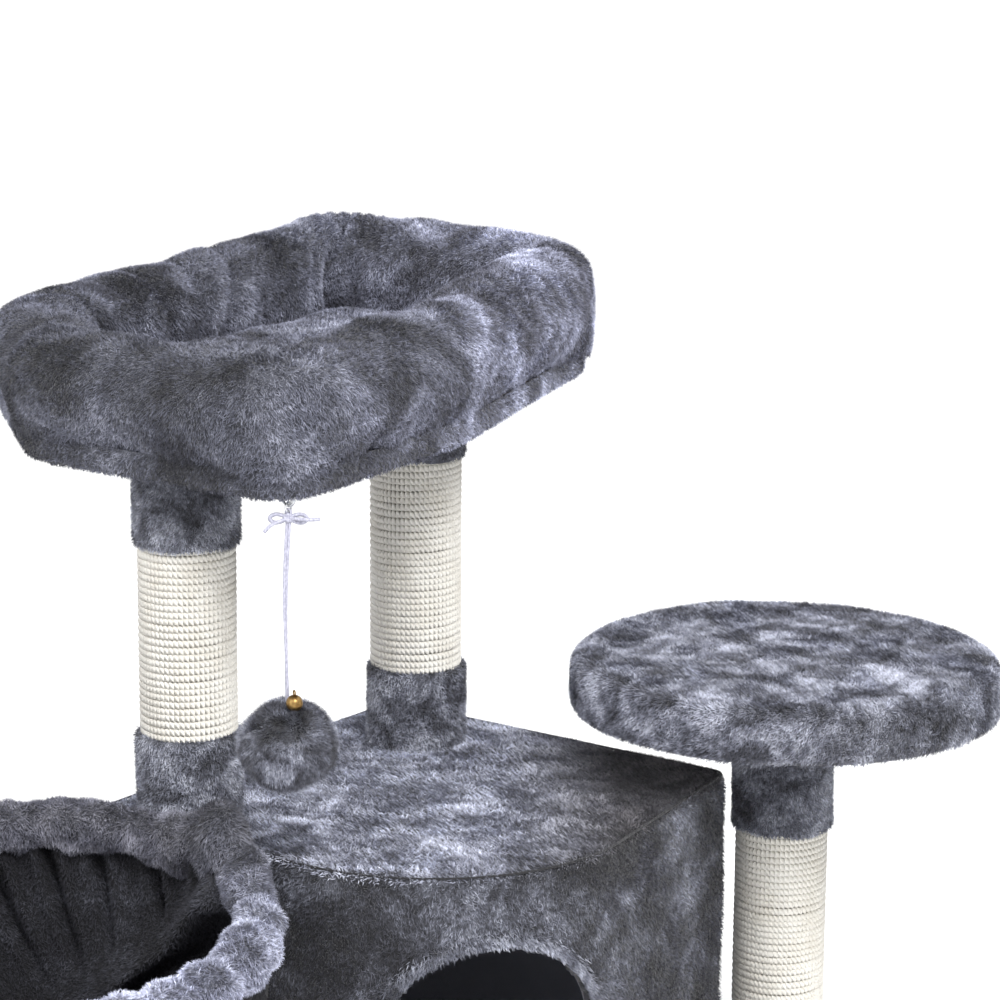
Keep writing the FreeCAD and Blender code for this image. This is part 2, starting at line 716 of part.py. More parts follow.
outer_low = bowl_top - size("bowl_depth")
outer = bowlProfile(size("bowl_radius"), outer_low, size("bowl_round"), bowl_top)
inner = bowlProfile(size("bowl_radius") - size("bowl_thick"), outer_low + size("bowl_thick"),
                    size("bowl_round") - size("bowl_thick"), bowl_top)
for section in (outer, inner):
    bowl_sketch.addGeometry(Part.LineSegment(section[0], section[1]), False)
    bowl_sketch.addGeometry(Part.Arc(section[1], section[2], section[3]), False)
    bowl_sketch.addGeometry(Part.LineSegment(section[3], section[4]), False)
bowl_sketch.addGeometry(Part.LineSegment(outer[4], inner[4]), False)
bowl_sketch.addGeometry(Part.LineSegment(inner[0], outer[0]), False)
turn = bowl.newObject("PartDesign::Revolution", "bowl_turn")
turn.Profile = bowl_sketch
turn.ReferenceAxis = (bowl_sketch, ["V_Axis"])
turn.Angle = 360.0
bowl.Placement = FreeCAD.Placement(basket_place, basket_turn)
keep(bowl, "basket_bowl")

# ---------------------------------------------------------------- hanging ball
toy_x = size("toy_x")
toy_y = size("toy_y")
staple_height = bed_under - size("staple_radius")
staple_arc = torus("staple_arc", "Sizes.staple_radius", "Sizes.staple_wire",
                   world(toy_x, toy_y, bed_under), vector(0, 1, 0))
staple_legs = [cylinder("staple_leg_%d" % number, "Sizes.staple_wire", "Sizes.board_thick * 0.75",
                        world(toy_x + side * size("staple_radius"), toy_y, bed_under))
               for number, side in enumerate((-1, 1))]
staple_top = doc.addObject("Part::Box", "staple_top")
for edge in ("Length", "Width", "Height"):
    staple_top.setExpression(edge, "Sizes.staple_radius * 4")
staple_top.Placement.Base = world(toy_x - 2 * size("staple_radius"), toy_y - 2 * size("staple_radius"),
                                  bed_under)
keep(fuse("toy_staple", [cut("staple_bow", staple_arc, staple_top)] + staple_legs), "toy_staple")

# The loop hangs on the staple and the cord's eye hangs on the loop, each with a little play
loop_top = staple_height + size("staple_wire") + size("loose_gap") + size("loop_wire")
loop_centre = loop_top - size("loop_radius")
loop_low = loop_centre - size("loop_radius")
keep(torus("toy_loop", "Sizes.loop_radius", "Sizes.loop_wire", world(toy_x, toy_y, loop_centre),
           vector(1, 0, 0)), "toy_loop")
eye_centre = loop_low + size("loop_wire") + size("loose_gap") + size("eye_wire") - size("eye_radius")
knot_height = eye_centre - size("eye_radius") - size("knot_radius") * 0.5
knot_place = world(toy_x, toy_y, knot_height)

# Two loops of cord stand out to the knot's sides, and the tails hang below them and lean forwards
across = vector(0.81, 0.58, 0)
forwards = vector(0.58, -0.81, 0)
knot = ball("bow_knot", "Sizes.knot_radius", knot_place)
knot.Placement.Rotation = FreeCAD.Rotation(vector(0, 0, 1), forwards)
bow_members = [knot, torus("bow_eye", "Sizes.eye_radius", "Sizes.eye_wire",
                           world(toy_x, toy_y, eye_centre), vector(0, 1, 0))]
bow_reach = size("bow_radius") + size("knot_radius") * 0.6
for number, side in enumerate((-1, 1)):
    loop_place = knot_place + across * (side * bow_reach) - vector(0, 0, size("bow_wire"))
    bow_members.append(torus("bow_loop_%d" % number, "Sizes.bow_radius", "Sizes.bow_wire", loop_place,
                             forwards))
    tail_axis = across * (side * 0.7) + forwards * 0.6 - vector(0, 0, 0.9)
    bow_members.append(cylinder("bow_tail_%d" % number, "Sizes.bow_wire * 0.8",
                                "Sizes.knot_radius * 4.5", knot_place, tail_axis))
keep(fuse("toy_bow", bow_members), "toy_bow")


def cordTube(label, route, radius):
    """Tube along straight runs that are joined by tangent arcs as large as the runs allow."""
    edges = []
    last = route[0]
    arc_share = 0.45
    total = 0.0
    for before, here, after in zip(route, route[1:], route[2:]):
        inbound = here - before
        outbound = after - here
        half_turn = inbound.getAngle(outbound) / 2
        tangent = arc_share * min(inbound.Length, outbound.Length)
        bend = tangent / math.tan(half_turn)
        inward = (outbound.normalize() - inbound.normalize()).normalize()
        start = here - inbound * tangent
        end = here + outbound * tangent
        middle = here + inward * (bend / math.cos(half_turn) - bend)
        edges.append(Part.LineSegment(last, start).toShape())
        edges.append(Part.Arc(start, middle, end).toShape())
        total += edges[-1].Length + edges[-2].Length
        print("%s bend radius %.1f mm" % (label, bend))
        last = end
    edges.append(Part.LineSegment(last, route[-1]).toShape())
    total += edges[-1].Length
    path = Part.Wire(edges)
    direction = (route[1] - route[0]).normalize()
    section = Part.Wire([Part.Circle(route[0], direction, radius).toShape()])
    tube = path.makePipeShell([section], True, False)
    expected = math.pi * radius ** 2 * total
    print("%s length %.1f mm, volume %.1f of %.1f mm3" % (label, total, tube.Volume, expected))
    item = doc.addObject("Part::Feature", label)
    item.Shape = tube
    return keep(item, label)


ball_height = den_top + size("ball_z")
cord_low = ball_height + size("ball_high") - 1.0
cord_high = knot_height - size("knot_radius") * 0.7
cord_drop = cord_high - cord_low
# The cord leans a little to the left before it hangs straight
cord_route = [
    world(toy_x, toy_y, cord_high),
    world(toy_x - 2.3, toy_y - 1.6, cord_high - cord_drop * 0.31),
    world(toy_x - 2.0, toy_y - 1.2, cord_high - cord_drop * 0.66),
    world(toy_x - 1.2, toy_y - 0.9, cord_low),
]
cordTube("toy_cord", cord_route, size("cord_radius"))

ball_centre = world(toy_x - 1.0, toy_y - 0.7, ball_height)


def ellipsoid(name, shrink, centre):
    """Slightly flattened ball, smaller by shrink."""
    item = doc.addObject("Part::Ellipsoid", name)
    item.setExpression("Radius1", "Sizes.ball_high - %s" % shrink)
    item.setExpression("Radius2", "Sizes.ball_wide - %s" % shrink)
    item.setExpression("Radius3", "Sizes.ball_wide - %s" % shrink)
    item.Placement.Base = centre
    return item


keep(ellipsoid("toy_ball_filling", "Sizes.ball_skin - Sizes.fit_gap", ball_centre), "toy_ball_filling")
keep(cut("toy_ball_cover", ellipsoid("ball_outside", "0", ball_centre),
         ellipsoid("ball_inside", "Sizes.ball_skin", ball_centre)), "toy_ball_cover")

# The bell sits on the ball beside the cord, on the side that faces forwards and right
bell_side = vector(0.87, -0.49, 0)
bell_out = 11.8
surface = size("ball_high") * math.sqrt(1 - (bell_out / size("ball_wide")) ** 2)
bell_height = ball_height + surface + size("bell_radius") + 1.0
bell_centre = vector(ball_centre.x, ball_centre.y, bell_height) + bell_side * bell_out
bell_shell = cut("bell_shell", ball("bell_outside", "Sizes.bell_radius", bell_centre),
                 ball("bell_inside", "Sizes.bell_radius - Sizes.bell_thick", bell_centre))
bell_slots = []
for number, angle in enumerate((0.0, 90.0)):
    slot = doc.addObject("Part::Box", "bell_slot_%d" % number)
    slot.setExpression("Length", "Sizes.bell_radius * 1.7")
    slot.setExpression("Width", "Sizes.bell_radius * 0.2")
    slot.setExpression("Height", "Sizes.bell_radius")
    turn_slot = FreeCAD.Rotation(vector(0, 0, 1), angle)
    offset = turn_slot.multVec(vector(-size("bell_radius") * 0.85, -size("bell_radius") * 0.1, 0))
    slot.Placement = FreeCAD.Placement(bell_centre + offset - vector(0, 0, size("bell_radius") * 1.25),
                                       turn_slot)
    bell_slots.append(slot)
bell_cut = cut("bell_cut", bell_shell, fuse("bell_slots", bell_slots))
bell_loop = torus("bell_loop", "Sizes.bell_radius * 0.3", "Sizes.bell_thick",
                  bell_centre + vector(0, 0, size("bell_radius") * 1.22), vector(0.49, 0.87, 0))
keep(fuse("toy_bell", [bell_cut, bell_loop]), "toy_bell")
pellet_height = bell_height - size("bell_radius") + size("bell_thick") + size("pellet_radius") + 0.7
keep(ball("toy_bell_pellet", "Sizes.pellet_radius", vector(bell_centre.x, bell_centre.y, pellet_height)),
     "toy_bell_pellet")

# ---------------------------------------------------------------- check and write
doc.recompute()
for item in doc.Objects:
    if "Invalid" in item.State or "Error" in item.State:
        raise RuntimeError("%s did not recompute: %s" % (item.Name, item.State))
for item in nodes:
    shape = item.Shape
    if shape.isNull() or not shape.isValid() or not shape.Solids:
        raise RuntimeError("%s has no valid solid" % item.Label)

os.makedirs("parts", exist_ok=True)
for item in nodes:
    item.Shape.exportStep("parts/%s.step" % item.Label)
print("%d nodes written" % len(nodes))
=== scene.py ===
import math

import bpy
import numpy as np
from mathutils import Matrix, Vector


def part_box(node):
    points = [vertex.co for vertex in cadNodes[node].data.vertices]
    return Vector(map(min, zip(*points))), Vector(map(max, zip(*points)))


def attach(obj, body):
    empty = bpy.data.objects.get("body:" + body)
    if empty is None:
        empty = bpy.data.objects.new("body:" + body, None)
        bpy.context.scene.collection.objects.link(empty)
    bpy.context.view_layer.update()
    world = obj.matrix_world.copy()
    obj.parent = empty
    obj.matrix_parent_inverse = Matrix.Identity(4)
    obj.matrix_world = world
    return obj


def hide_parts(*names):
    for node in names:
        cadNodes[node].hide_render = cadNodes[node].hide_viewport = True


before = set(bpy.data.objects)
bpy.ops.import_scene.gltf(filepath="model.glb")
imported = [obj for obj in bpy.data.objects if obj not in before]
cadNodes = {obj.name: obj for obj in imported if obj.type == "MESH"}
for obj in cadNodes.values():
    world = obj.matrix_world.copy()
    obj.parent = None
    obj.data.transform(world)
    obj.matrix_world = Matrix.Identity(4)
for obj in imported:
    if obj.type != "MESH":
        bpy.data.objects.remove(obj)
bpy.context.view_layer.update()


# ---- small tools that every piece uses
def clearSelection():
    if bpy.context.mode != "OBJECT":
        bpy.ops.object.mode_set(mode="OBJECT")
    bpy.ops.object.select_all(action="DESELECT")


def pickUp(piece):
    clearSelection()
    piece.select_set(True)
    bpy.context.view_layer.objects.active = piece


def editAll(piece):
    pickUp(piece)
    bpy.ops.object.mode_set(mode="EDIT")
    bpy.ops.mesh.select_all(action="SELECT")


def leaveEdit():
    bpy.ops.object.mode_set(mode="OBJECT")


def applyModifier(piece, kind, **settings):
    pickUp(piece)
    modifier = piece.modifiers.new(kind.lower(), kind)
    for name, value in settings.items():
        setattr(modifier, name, value)
    bpy.ops.object.modifier_apply(modifier=modifier.name)


def getPoints(piece):
    points = np.zeros(len(piece.data.vertices) * 3)
    piece.data.vertices.foreach_get("co", points)
    return points.reshape(-1, 3)


def setPoints(piece, points):
    piece.data.vertices.foreach_set("co", points.reshape(-1))
    piece.data.update()


def getNormals(piece):
    normals = np.zeros(len(piece.data.vertices) * 3)
    piece.data.vertices.foreach_get("normal", normals)
    return normals.reshape(-1, 3)


def pushOut(piece, amount):
    setPoints(piece, getPoints(piece) + getNormals(piece) * np.asarray(amount)[:, None])


def deleteFaces(piece, test):  # test gets each face's middle and normal
    pickUp(piece)
    bpy.context.tool_settings.mesh_select_mode = (False, False, True)
    bpy.ops.object.mode_set(mode="EDIT")
    bpy.ops.mesh.select_all(action="DESELECT")
    leaveEdit()
    for face in piece.data.polygons:
        face.select = bool(test(face.center, face.normal))
    bpy.ops.object.mode_set(mode="EDIT")
    bpy.ops.mesh.delete(type="FACE")
    leaveEdit()


def mergePoints(piece, chosen):
    pickUp(piece)
    bpy.context.tool_settings.mesh_select_mode = (True, False, False)
    bpy.ops.object.mode_set(mode="EDIT")
    bpy.ops.mesh.select_all(action="DESELECT")
    leaveEdit()
    piece.data.vertices.foreach_set("select", np.asarray(chosen, bool))
    bpy.ops.object.mode_set(mode="EDIT")
    bpy.ops.mesh.merge(type="CENTER")
    leaveEdit()


def smoothShade(piece, angle=60):
    pickUp(piece)
    bpy.ops.object.shade_smooth_by_angle(angle=math.radians(angle))


def applyPlace(piece):
    pickUp(piece)
    bpy.ops.object.transform_apply(location=True, rotation=True, scale=True)


def joinPieces(name, members):
    clearSelection()
    for member in members:
        member.select_set(True)
    bpy.context.view_layer.objects.active = members[0]
    if len(members) > 1:
        bpy.ops.object.join()
    members[0].name = name
    return members[0]


def copyPiece(piece, name):
    copy = bpy.data.objects.new(name, piece.data.copy())
    bpy.context.scene.collection.objects.link(copy)
    return copy


def copyNode(name, node):  # a merged copy of a CAD solid, to be worked on
    piece = bpy.data.objects.new(name, cadNodes[node].data.copy())
    piece.data.materials.clear()
    bpy.context.scene.collection.objects.link(piece)
    editAll(piece)
    bpy.ops.mesh.remove_doubles(threshold=0.00002)
    leaveEdit()
    return piece


def smoothNoise(points, size, seed, octaves=2):
    # Soft random field from -1 to 1 whose lumps are about size across
    rng = np.random.default_rng(seed)
    total = np.zeros(len(points))
    share = 1.0
    for octave in range(octaves):
        for wave in range(7):
            direction = rng.normal(size=3)
            direction /= np.linalg.norm(direction)
            stretch = rng.uniform(0.7, 1.4) * 2 ** octave / size
            total += share * np.sin(points @ direction * stretch * 2 * math.pi + rng.uniform(0, 6.3))
        share *= 0.5
    return total / 4.5


def finishPiece(piece, material, body, nodes=()):
    piece.data.materials.clear()
    piece.data.materials.append(material)
    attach(piece, body)
    if nodes:
        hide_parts(*nodes)
    return piece


# ---- camera
cameraPlace = {"at": (1.3910, -1.7544, 1.0364), "yaw": 35.811, "down": 12.622, "roll": 0.392, "lens": 119.94}


def makeCamera(view):
    bpy.ops.object.camera_add(location=view["at"])
    camera = bpy.context.object
    turn = Matrix.Rotation(math.radians(view["yaw"]), 4, "Z")
    turn = turn @ Matrix.Rotation(math.radians(90 - view["down"]), 4, "X")
    turn = turn @ Matrix.Rotation(math.radians(view["roll"]), 4, "Z")
    camera.rotation_euler = turn.to_euler()
    camera.data.sensor_width = 36
    camera.data.lens = view["lens"]
    camera.data.clip_end = 30
    bpy.context.scene.camera = camera


makeCamera(cameraPlace)
print("camera set")

# ---- materials
plushColours = {
    "deep": (0.026, 0.026, 0.034, 1),
    "dark": (0.076, 0.078, 0.099, 1),
    "middle": (0.215, 0.225, 0.280, 1),
    "light": (0.590, 0.610, 0.700, 1),
}


# Painted shade along each fibre: the root is darkened and the tip lightened; streak is the scale of the pile's streaks
fibreShade = {"streak": 300.0, "root": 0.55, "tip": 1.35}


def newGroup(name, inputs, outputs):
    group = bpy.data.node_groups.new(name, "ShaderNodeTree")
    for socketName, kind, value in inputs:
        socket = group.interface.new_socket(socketName, in_out="INPUT", socket_type=kind)
        if value is not None:
            socket.default_value = value
    for socketName, kind in outputs:
        group.interface.new_socket(socketName, in_out="OUTPUT", socket_type=kind)
    start = group.nodes.new("NodeGroupInput")
    end = group.nodes.new("NodeGroupOutput")
    return group, start, end


def addNode(tree, kind, links=None, **settings):
    node = tree.nodes.new(kind)
    for name, value in settings.items():
        setattr(node, name, value)
    for name, value in (links or {}).items():
        socket = node.inputs[name]
        if isinstance(value, bpy.types.NodeSocket):
            tree.links.new(value, socket)
        else:
            socket.default_value = value
    return node


def maths(tree, operation, first, second=0.0, clamp=False):
    return addNode(tree, "ShaderNodeMath", {0: first, 1: second}, operation=operation, use_clamp=clamp).outputs[0]


def blendColour(tree, factor, first, second, how="MIX"):
    node = addNode(tree, "ShaderNodeMix", data_type="RGBA", blend_type=how)
    for index, value in ((0, factor), (6, first), (7, second)):
        if isinstance(value, bpy.types.NodeSocket):
            tree.links.new(value, node.inputs[index])
        else:
            node.inputs[index].default_value = value
    return node.outputs[2]


def stretchValue(tree, value, low, high):
    node = addNode(tree, "ShaderNodeMapRange", {"Value": value, "From Min": low, "From Max": high})
    return node.outputs["Result"]


def buildPileGroup():
    # Brushed pile: big swirls where the nap lies to or from the light, broken up by streaks and speckle
    group, start, end = newGroup("pileColour", [
        ("Vector", "NodeSocketVector", None), ("Patch Scale", "NodeSocketFloat", 16.0),
        ("Streak Scale", "NodeSocketFloat", 260.0), ("Brightness", "NodeSocketFloat", 0.5),
        ("Contrast", "NodeSocketFloat", 1.0)],
        [("Color", "NodeSocketColor"), ("Height", "NodeSocketFloat")])
    vector = start.outputs["Vector"]
    swirl = addNode(group, "ShaderNodeTexNoise", {"Vector": vector, "Scale": start.outputs["Patch Scale"],
                                                  "Detail": 5.0, "Roughness": 0.6, "Distortion": 0.6})
    smear = addNode(group, "ShaderNodeTexNoise", {"Vector": vector, "Scale": 95.0, "Detail": 3.0,
                                                  "Roughness": 0.65, "Distortion": 0.8})
    streak = addNode(group, "ShaderNodeTexNoise", {"Vector": vector, "Scale": start.outputs["Streak Scale"],
                                                   "Detail": 2.0, "Roughness": 0.7, "Distortion": 0.4})
    patch = stretchValue(group, swirl.outputs["Fac"], 0.36, 0.64)
    smearTone = stretchValue(group, smear.outputs["Fac"], 0.3, 0.7)
    streakTone = stretchValue(group, streak.outputs["Fac"], 0.3, 0.7)
    tone = maths(group, "ADD", maths(group, "MULTIPLY", patch, 0.48), maths(group, "MULTIPLY", smearTone, 0.24))
    tone = maths(group, "ADD", tone, maths(group, "MULTIPLY", streakTone, 0.28))
    tone = maths(group, "SUBTRACT", tone, 0.5)
    tone = maths(group, "MULTIPLY", tone, start.outputs["Contrast"])
    tone = maths(group, "ADD", tone, start.outputs["Brightness"], clamp=True)
    ramp = addNode(group, "ShaderNodeValToRGB", {"Fac": tone})
    places = (0.08, 0.34, 0.58, 0.92)
    ramp.color_ramp.elements[0].position = places[0]
    ramp.color_ramp.elements[0].color = plushColours["deep"]
    ramp.color_ramp.elements[1].position = places[3]
    ramp.color_ramp.elements[1].color = plushColours["light"]
    for place, colour in ((places[1], "dark"), (places[2], "middle")):
        ramp.color_ramp.elements.new(place).color = plushColours[colour]
    group.links.new(ramp.outputs["Color"], end.inputs["Color"])
    group.links.new(streakTone, end.inputs["Height"])
    return group


pileGroup = buildPileGroup()


def startMaterial(name, roughness=0.8, metallic=0.0, sheen=0.0):
    material = bpy.data.materials.new(name)
    material.use_nodes = True
    tree = material.node_tree
    shader = tree.nodes["Principled BSDF"]
    shader.inputs["Roughness"].default_value = roughness
    shader.inputs["Metallic"].default_value = metallic
    shader.inputs["Sheen Weight"].default_value = sheen
    shader.inputs["Sheen Roughness"].default_value = 0.45
    where = tree.nodes.new("ShaderNodeTexCoord").outputs["Object"]
    return material, tree, shader, where


def addBump(tree, shader, height, distance, strength=0.6):
    bump = addNode(tree, "ShaderNodeBump", {"Height": height, "Distance": distance, "Strength": strength})
    tree.links.new(bump.outputs["Normal"], shader.inputs["Normal"])


def paintedLightFade(tree, where, colour, lightFade):
    # Painted light and shade: the tone is multiplied up or down slowly, along a direction or out from a point
    direction = lightFade.get("along")
    if direction:
        along = addNode(tree, "ShaderNodeVectorMath", {0: where, 1: direction}, operation="DOT_PRODUCT")
    else:
        along = addNode(tree, "ShaderNodeVectorMath", {0: where, 1: lightFade["around"]}, operation="DISTANCE")
    share = stretchValue(tree, along.outputs["Value"], lightFade["start"], lightFade["stop"])
    return blendColour(tree, 1.0, colour, blendColour(tree, share, lightFade["first"], lightFade["last"]), "MULTIPLY")


def plushMaterial(name, brightness=0.5, contrast=1.0, patch=16.0, sheen=0.25, paintedLights=()):
    # The same colour field on a cloth and on the fibres that stand on it, with painted shade that darkens each fibre
    # toward its root and the cloth between the fibres
    material, tree, shader, where = startMaterial(name, roughness=0.9, sheen=sheen)
    colour = addNode(tree, "ShaderNodeGroup", node_tree=pileGroup)
    tree.links.new(where, colour.inputs["Vector"])
    colour.inputs["Patch Scale"].default_value = patch
    colour.inputs["Streak Scale"].default_value = fibreShade["streak"]
    colour.inputs["Brightness"].default_value = brightness
    colour.inputs["Contrast"].default_value = contrast
    along = addNode(tree, "ShaderNodeAttribute", attribute_name="alongFibre").outputs["Fac"]
    chance = addNode(tree, "ShaderNodeAttribute", attribute_name="fibreTone").outputs["Fac"]
    shade = maths(tree, "ADD", maths(tree, "MULTIPLY", along, fibreShade["tip"] - fibreShade["root"]),
                  fibreShade["root"])
    shade = maths(tree, "MULTIPLY", shade, maths(tree, "ADD", maths(tree, "MULTIPLY", chance, 0.75), 0.68))
    grey = addNode(tree, "ShaderNodeCombineColor", {0: shade, 1: shade, 2: shade}).outputs[0]
    mixed = blendColour(tree, 1.0, colour.outputs["Color"], grey, "MULTIPLY")
    for lightFade in paintedLights:
        mixed = paintedLightFade(tree, where, mixed, lightFade)
    tree.links.new(mixed, shader.inputs["Base Color"])
    addBump(tree, shader, colour.outputs["Height"], 0.0012)
    return material


def speckled(name, first, second, scale, roughness=0.7, metallic=0.0, bump=0.0003, detail=4.0, stretch=(1, 1, 1),
             sheen=0.0, low=0.35, high=0.65):
    # Two tones broken up by noise that may be drawn out along one axis
    material, tree, shader, where = startMaterial(name, roughness, metallic, sheen)
    mapped = addNode(tree, "ShaderNodeMapping", {"Vector": where, "Scale": stretch}).outputs[0]
    grain = addNode(tree, "ShaderNodeTexNoise", {"Vector": mapped, "Scale": scale, "Detail": detail,
                                                 "Roughness": 0.65})
    tone = stretchValue(tree, grain.outputs["Fac"], low, high)
    tree.links.new(blendColour(tree, tone, first, second), shader.inputs["Base Color"])
    rough = addNode(tree, "ShaderNodeMapRange", {"Value": tone, "To Min": roughness - 0.08,
                                                 "To Max": min(roughness + 0.08, 1.0)})
    tree.links.new(rough.outputs["Result"], shader.inputs["Roughness"])
    addBump(tree, shader, grain.outputs["Fac"], bump)
    return material


def wovenMaterial(name, first, second, threads, roughness=0.85, sheen=0.3):
    # Plain weave from two crossed waves
    material, tree, shader, where = startMaterial(name, roughness, sheen=sheen)
    waves = [addNode(tree, "ShaderNodeTexWave", {"Vector": where, "Scale": threads, "Distortion": 1.0,
                                                 "Detail": 1.0}, bands_direction=axis) for axis in ("X", "Z")]
    woven = maths(tree, "MULTIPLY", waves[0].outputs["Fac"], waves[1].outputs["Fac"])
    cloudy = addNode(tree, "ShaderNodeTexNoise", {"Vector": where, "Scale": 30.0, "Detail": 3.0})
    tone = maths(tree, "ADD", maths(tree, "MULTIPLY", woven, 0.5), maths(tree, "MULTIPLY", cloudy.outputs["Fac"], 0.5))
    tree.links.new(blendColour(tree, tone, first, second), shader.inputs["Base Color"])
    addBump(tree, shader, woven, 0.0004)
    return material


def ropeMaterial(name):
    # Fibres run along each strand, with paler and browner lengths
    material, tree, shader, where = startMaterial(name, roughness=0.85, sheen=0.15)
    fibres = addNode(tree, "ShaderNodeMapping", {"Vector": where, "Scale": (1.0, 1.0, 5.0)}).outputs[0]
    hairs = addNode(tree, "ShaderNodeTexNoise", {"Vector": fibres, "Scale": 480.0, "Detail": 3.0, "Roughness": 0.7})
    patches = addNode(tree, "ShaderNodeTexNoise", {"Vector": where, "Scale": 38.0, "Detail": 4.0, "Roughness": 0.6})
    tone = maths(tree, "ADD", maths(tree, "MULTIPLY", hairs.outputs["Fac"], 0.6),
                 maths(tree, "MULTIPLY", patches.outputs["Fac"], 0.4))
    ramp = addNode(tree, "ShaderNodeValToRGB", {"Fac": tone})
    ramp.color_ramp.elements[0].position = 0.34
    ramp.color_ramp.elements[0].color = (0.70, 0.66, 0.58, 1)
    ramp.color_ramp.elements[1].position = 0.62
    ramp.color_ramp.elements[1].color = (0.90, 0.88, 0.83, 1)
    middle = ramp.color_ramp.elements.new(0.48)
    middle.color = (0.84, 0.81, 0.745, 1)
    tree.links.new(ramp.outputs["Color"], shader.inputs["Base Color"])
    addBump(tree, shader, hairs.outputs["Fac"], 0.0006)
    return material


def boxPlace(node, x, y, z):  # a point by its shares of a node's box
    low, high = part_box(node)
    return tuple(low + Vector((x, y, z)) * (high - low))


def evenGrey(value):
    return (value, value, value * 1.02, 1)


# Painted light on the den's top: lighter toward the left, with painted shade darker and browner toward the right
topPaintedLight = {"along": (0.81, 0.585, 0), "start": 0.10, "stop": 0.19, "first": evenGrey(1.42),
           "last": (0.42, 0.385, 0.365, 1)}
# Painted light and shade on the basket rim: darker toward the back, lighter toward the front, and painted shade round a
# point above the rim's back
rimPaintedLight = [
    {"along": (0.45, -1, 0), "start": 0.13, "stop": 0.20, "first": (0.58, 0.56, 0.56, 1), "last": evenGrey(1.15)},
    {"along": (0, -1, 0), "start": 0.19, "stop": 0.27, "first": evenGrey(0.93), "last": evenGrey(1.28)},
    {"around": boxPlace("basket_rim", 0.63, 0.94, 1.17), "start": 0.028, "stop": 0.055, "first": evenGrey(0.53),
     "last": evenGrey(1.0)},
]
# Painted light and shade on the bed: lighter toward the right, darker along the front, and painted shade round a point
# near the bolster's right front
bedPaintedLight = [
    {"along": (0.81, 0.585, 0), "start": -0.06, "stop": 0.12, "first": evenGrey(0.74), "last": evenGrey(1.64)},
    {"along": (0, 1, 0), "start": -0.09, "stop": -0.03, "first": evenGrey(0.75), "last": evenGrey(1.22)},
    {"around": boxPlace("bed_bolster", 0.92, 0.30, 0.81), "start": 0.03, "stop": 0.10, "first": evenGrey(0.52),
     "last": evenGrey(1.0)},
]
# Painted shade: the platform's cover is darker toward its bottom than at its top
platformPaintedShade = {"along": (0, 0, 1), "start": boxPlace("platform_cover", 0, 0, 0.45)[2],
                "stop": boxPlace("platform_cover", 0, 0, 0.9)[2], "first": evenGrey(0.8), "last": evenGrey(1.0)}
bedPlush = plushMaterial("bedPlush", brightness=0.48, contrast=1.05, patch=12.0, paintedLights=bedPaintedLight)
postPlush = plushMaterial("postPlush", brightness=0.52, contrast=1.15, patch=26.0)
denPlush = plushMaterial("denPlush", brightness=0.35, contrast=1.2, patch=15.0)
# The den top's fibres take a lighter copy of the den's plush: painted light on the lit top
denTopLitPlush = plushMaterial("denTopLitPlush", brightness=0.70, contrast=0.85, patch=34.0, paintedLights=[topPaintedLight])
platformPlush = plushMaterial("platformPlush", brightness=0.62, contrast=1.15, patch=34.0, paintedLights=[platformPaintedShade])
ballPlush = plushMaterial("ballPlush", brightness=0.43, contrast=1.1, patch=40.0)
rimPlush = plushMaterial("rimPlush", brightness=0.66, contrast=0.95, patch=26.0, paintedLights=rimPaintedLight)
bowlFleece = plushMaterial("bowlFleece", brightness=0.06, contrast=0.9, patch=14.0, sheen=0.05)
fringePlush = plushMaterial("fringePlush", brightness=0.60, contrast=0.9, patch=30.0)
seamThread = plushMaterial("seamThread", brightness=0.08, contrast=0.4, patch=60.0)
sisalRope = ropeMaterial("sisalRope")
denLining = wovenMaterial("denLining", (0.17, 0.177, 0.220, 1), (0.30, 0.312, 0.385, 1), 420.0)
undersideFelt = speckled("undersideFelt", (0.020, 0.021, 0.025, 1), (0.050, 0.052, 0.060, 1), 320.0, 0.95, sheen=0.3)
particleBoard = speckled("particleBoard", (0.30, 0.21, 0.12, 1), (0.55, 0.43, 0.28, 1), 210.0, 0.8, bump=0.0004)
fibreBoard = speckled("fibreBoard", (0.27, 0.18, 0.10, 1), (0.36, 0.26, 0.16, 1), 600.0, 0.75)
paperTube = speckled("paperTube", (0.38, 0.29, 0.19, 1), (0.47, 0.37, 0.26, 1), 90.0, 0.85, stretch=(1, 1, 0.2))
plugWood = speckled("plugWood", (0.42, 0.30, 0.17, 1), (0.62, 0.47, 0.29, 1), 120.0, 0.7, stretch=(1, 0.12, 1))
foamFilling = speckled("foamFilling", (0.62, 0.58, 0.42, 1), (0.80, 0.77, 0.62, 1), 500.0, 0.95, bump=0.0008)
zincSteel = speckled("zincSteel", (0.52, 0.53, 0.55, 1), (0.72, 0.73, 0.75, 1), 260.0, 0.34, metallic=1.0, bump=0.00005)
blackWire = speckled("blackWire", (0.012, 0.012, 0.013, 1), (0.035, 0.035, 0.038, 1), 340.0, 0.42, bump=0.0001)
brassBell = speckled("brassBell", (0.15, 0.085, 0.03, 1), (0.36, 0.23, 0.085, 1), 300.0, 0.36, metallic=1.0, bump=0.00008)
whiteElastic = speckled("whiteElastic", (0.27, 0.27, 0.35, 1), (0.52, 0.52, 0.62, 1), 900.0, 0.6, bump=0.0002,
                        stretch=(1, 1, 0.4), sheen=0.2)
print("materials made")


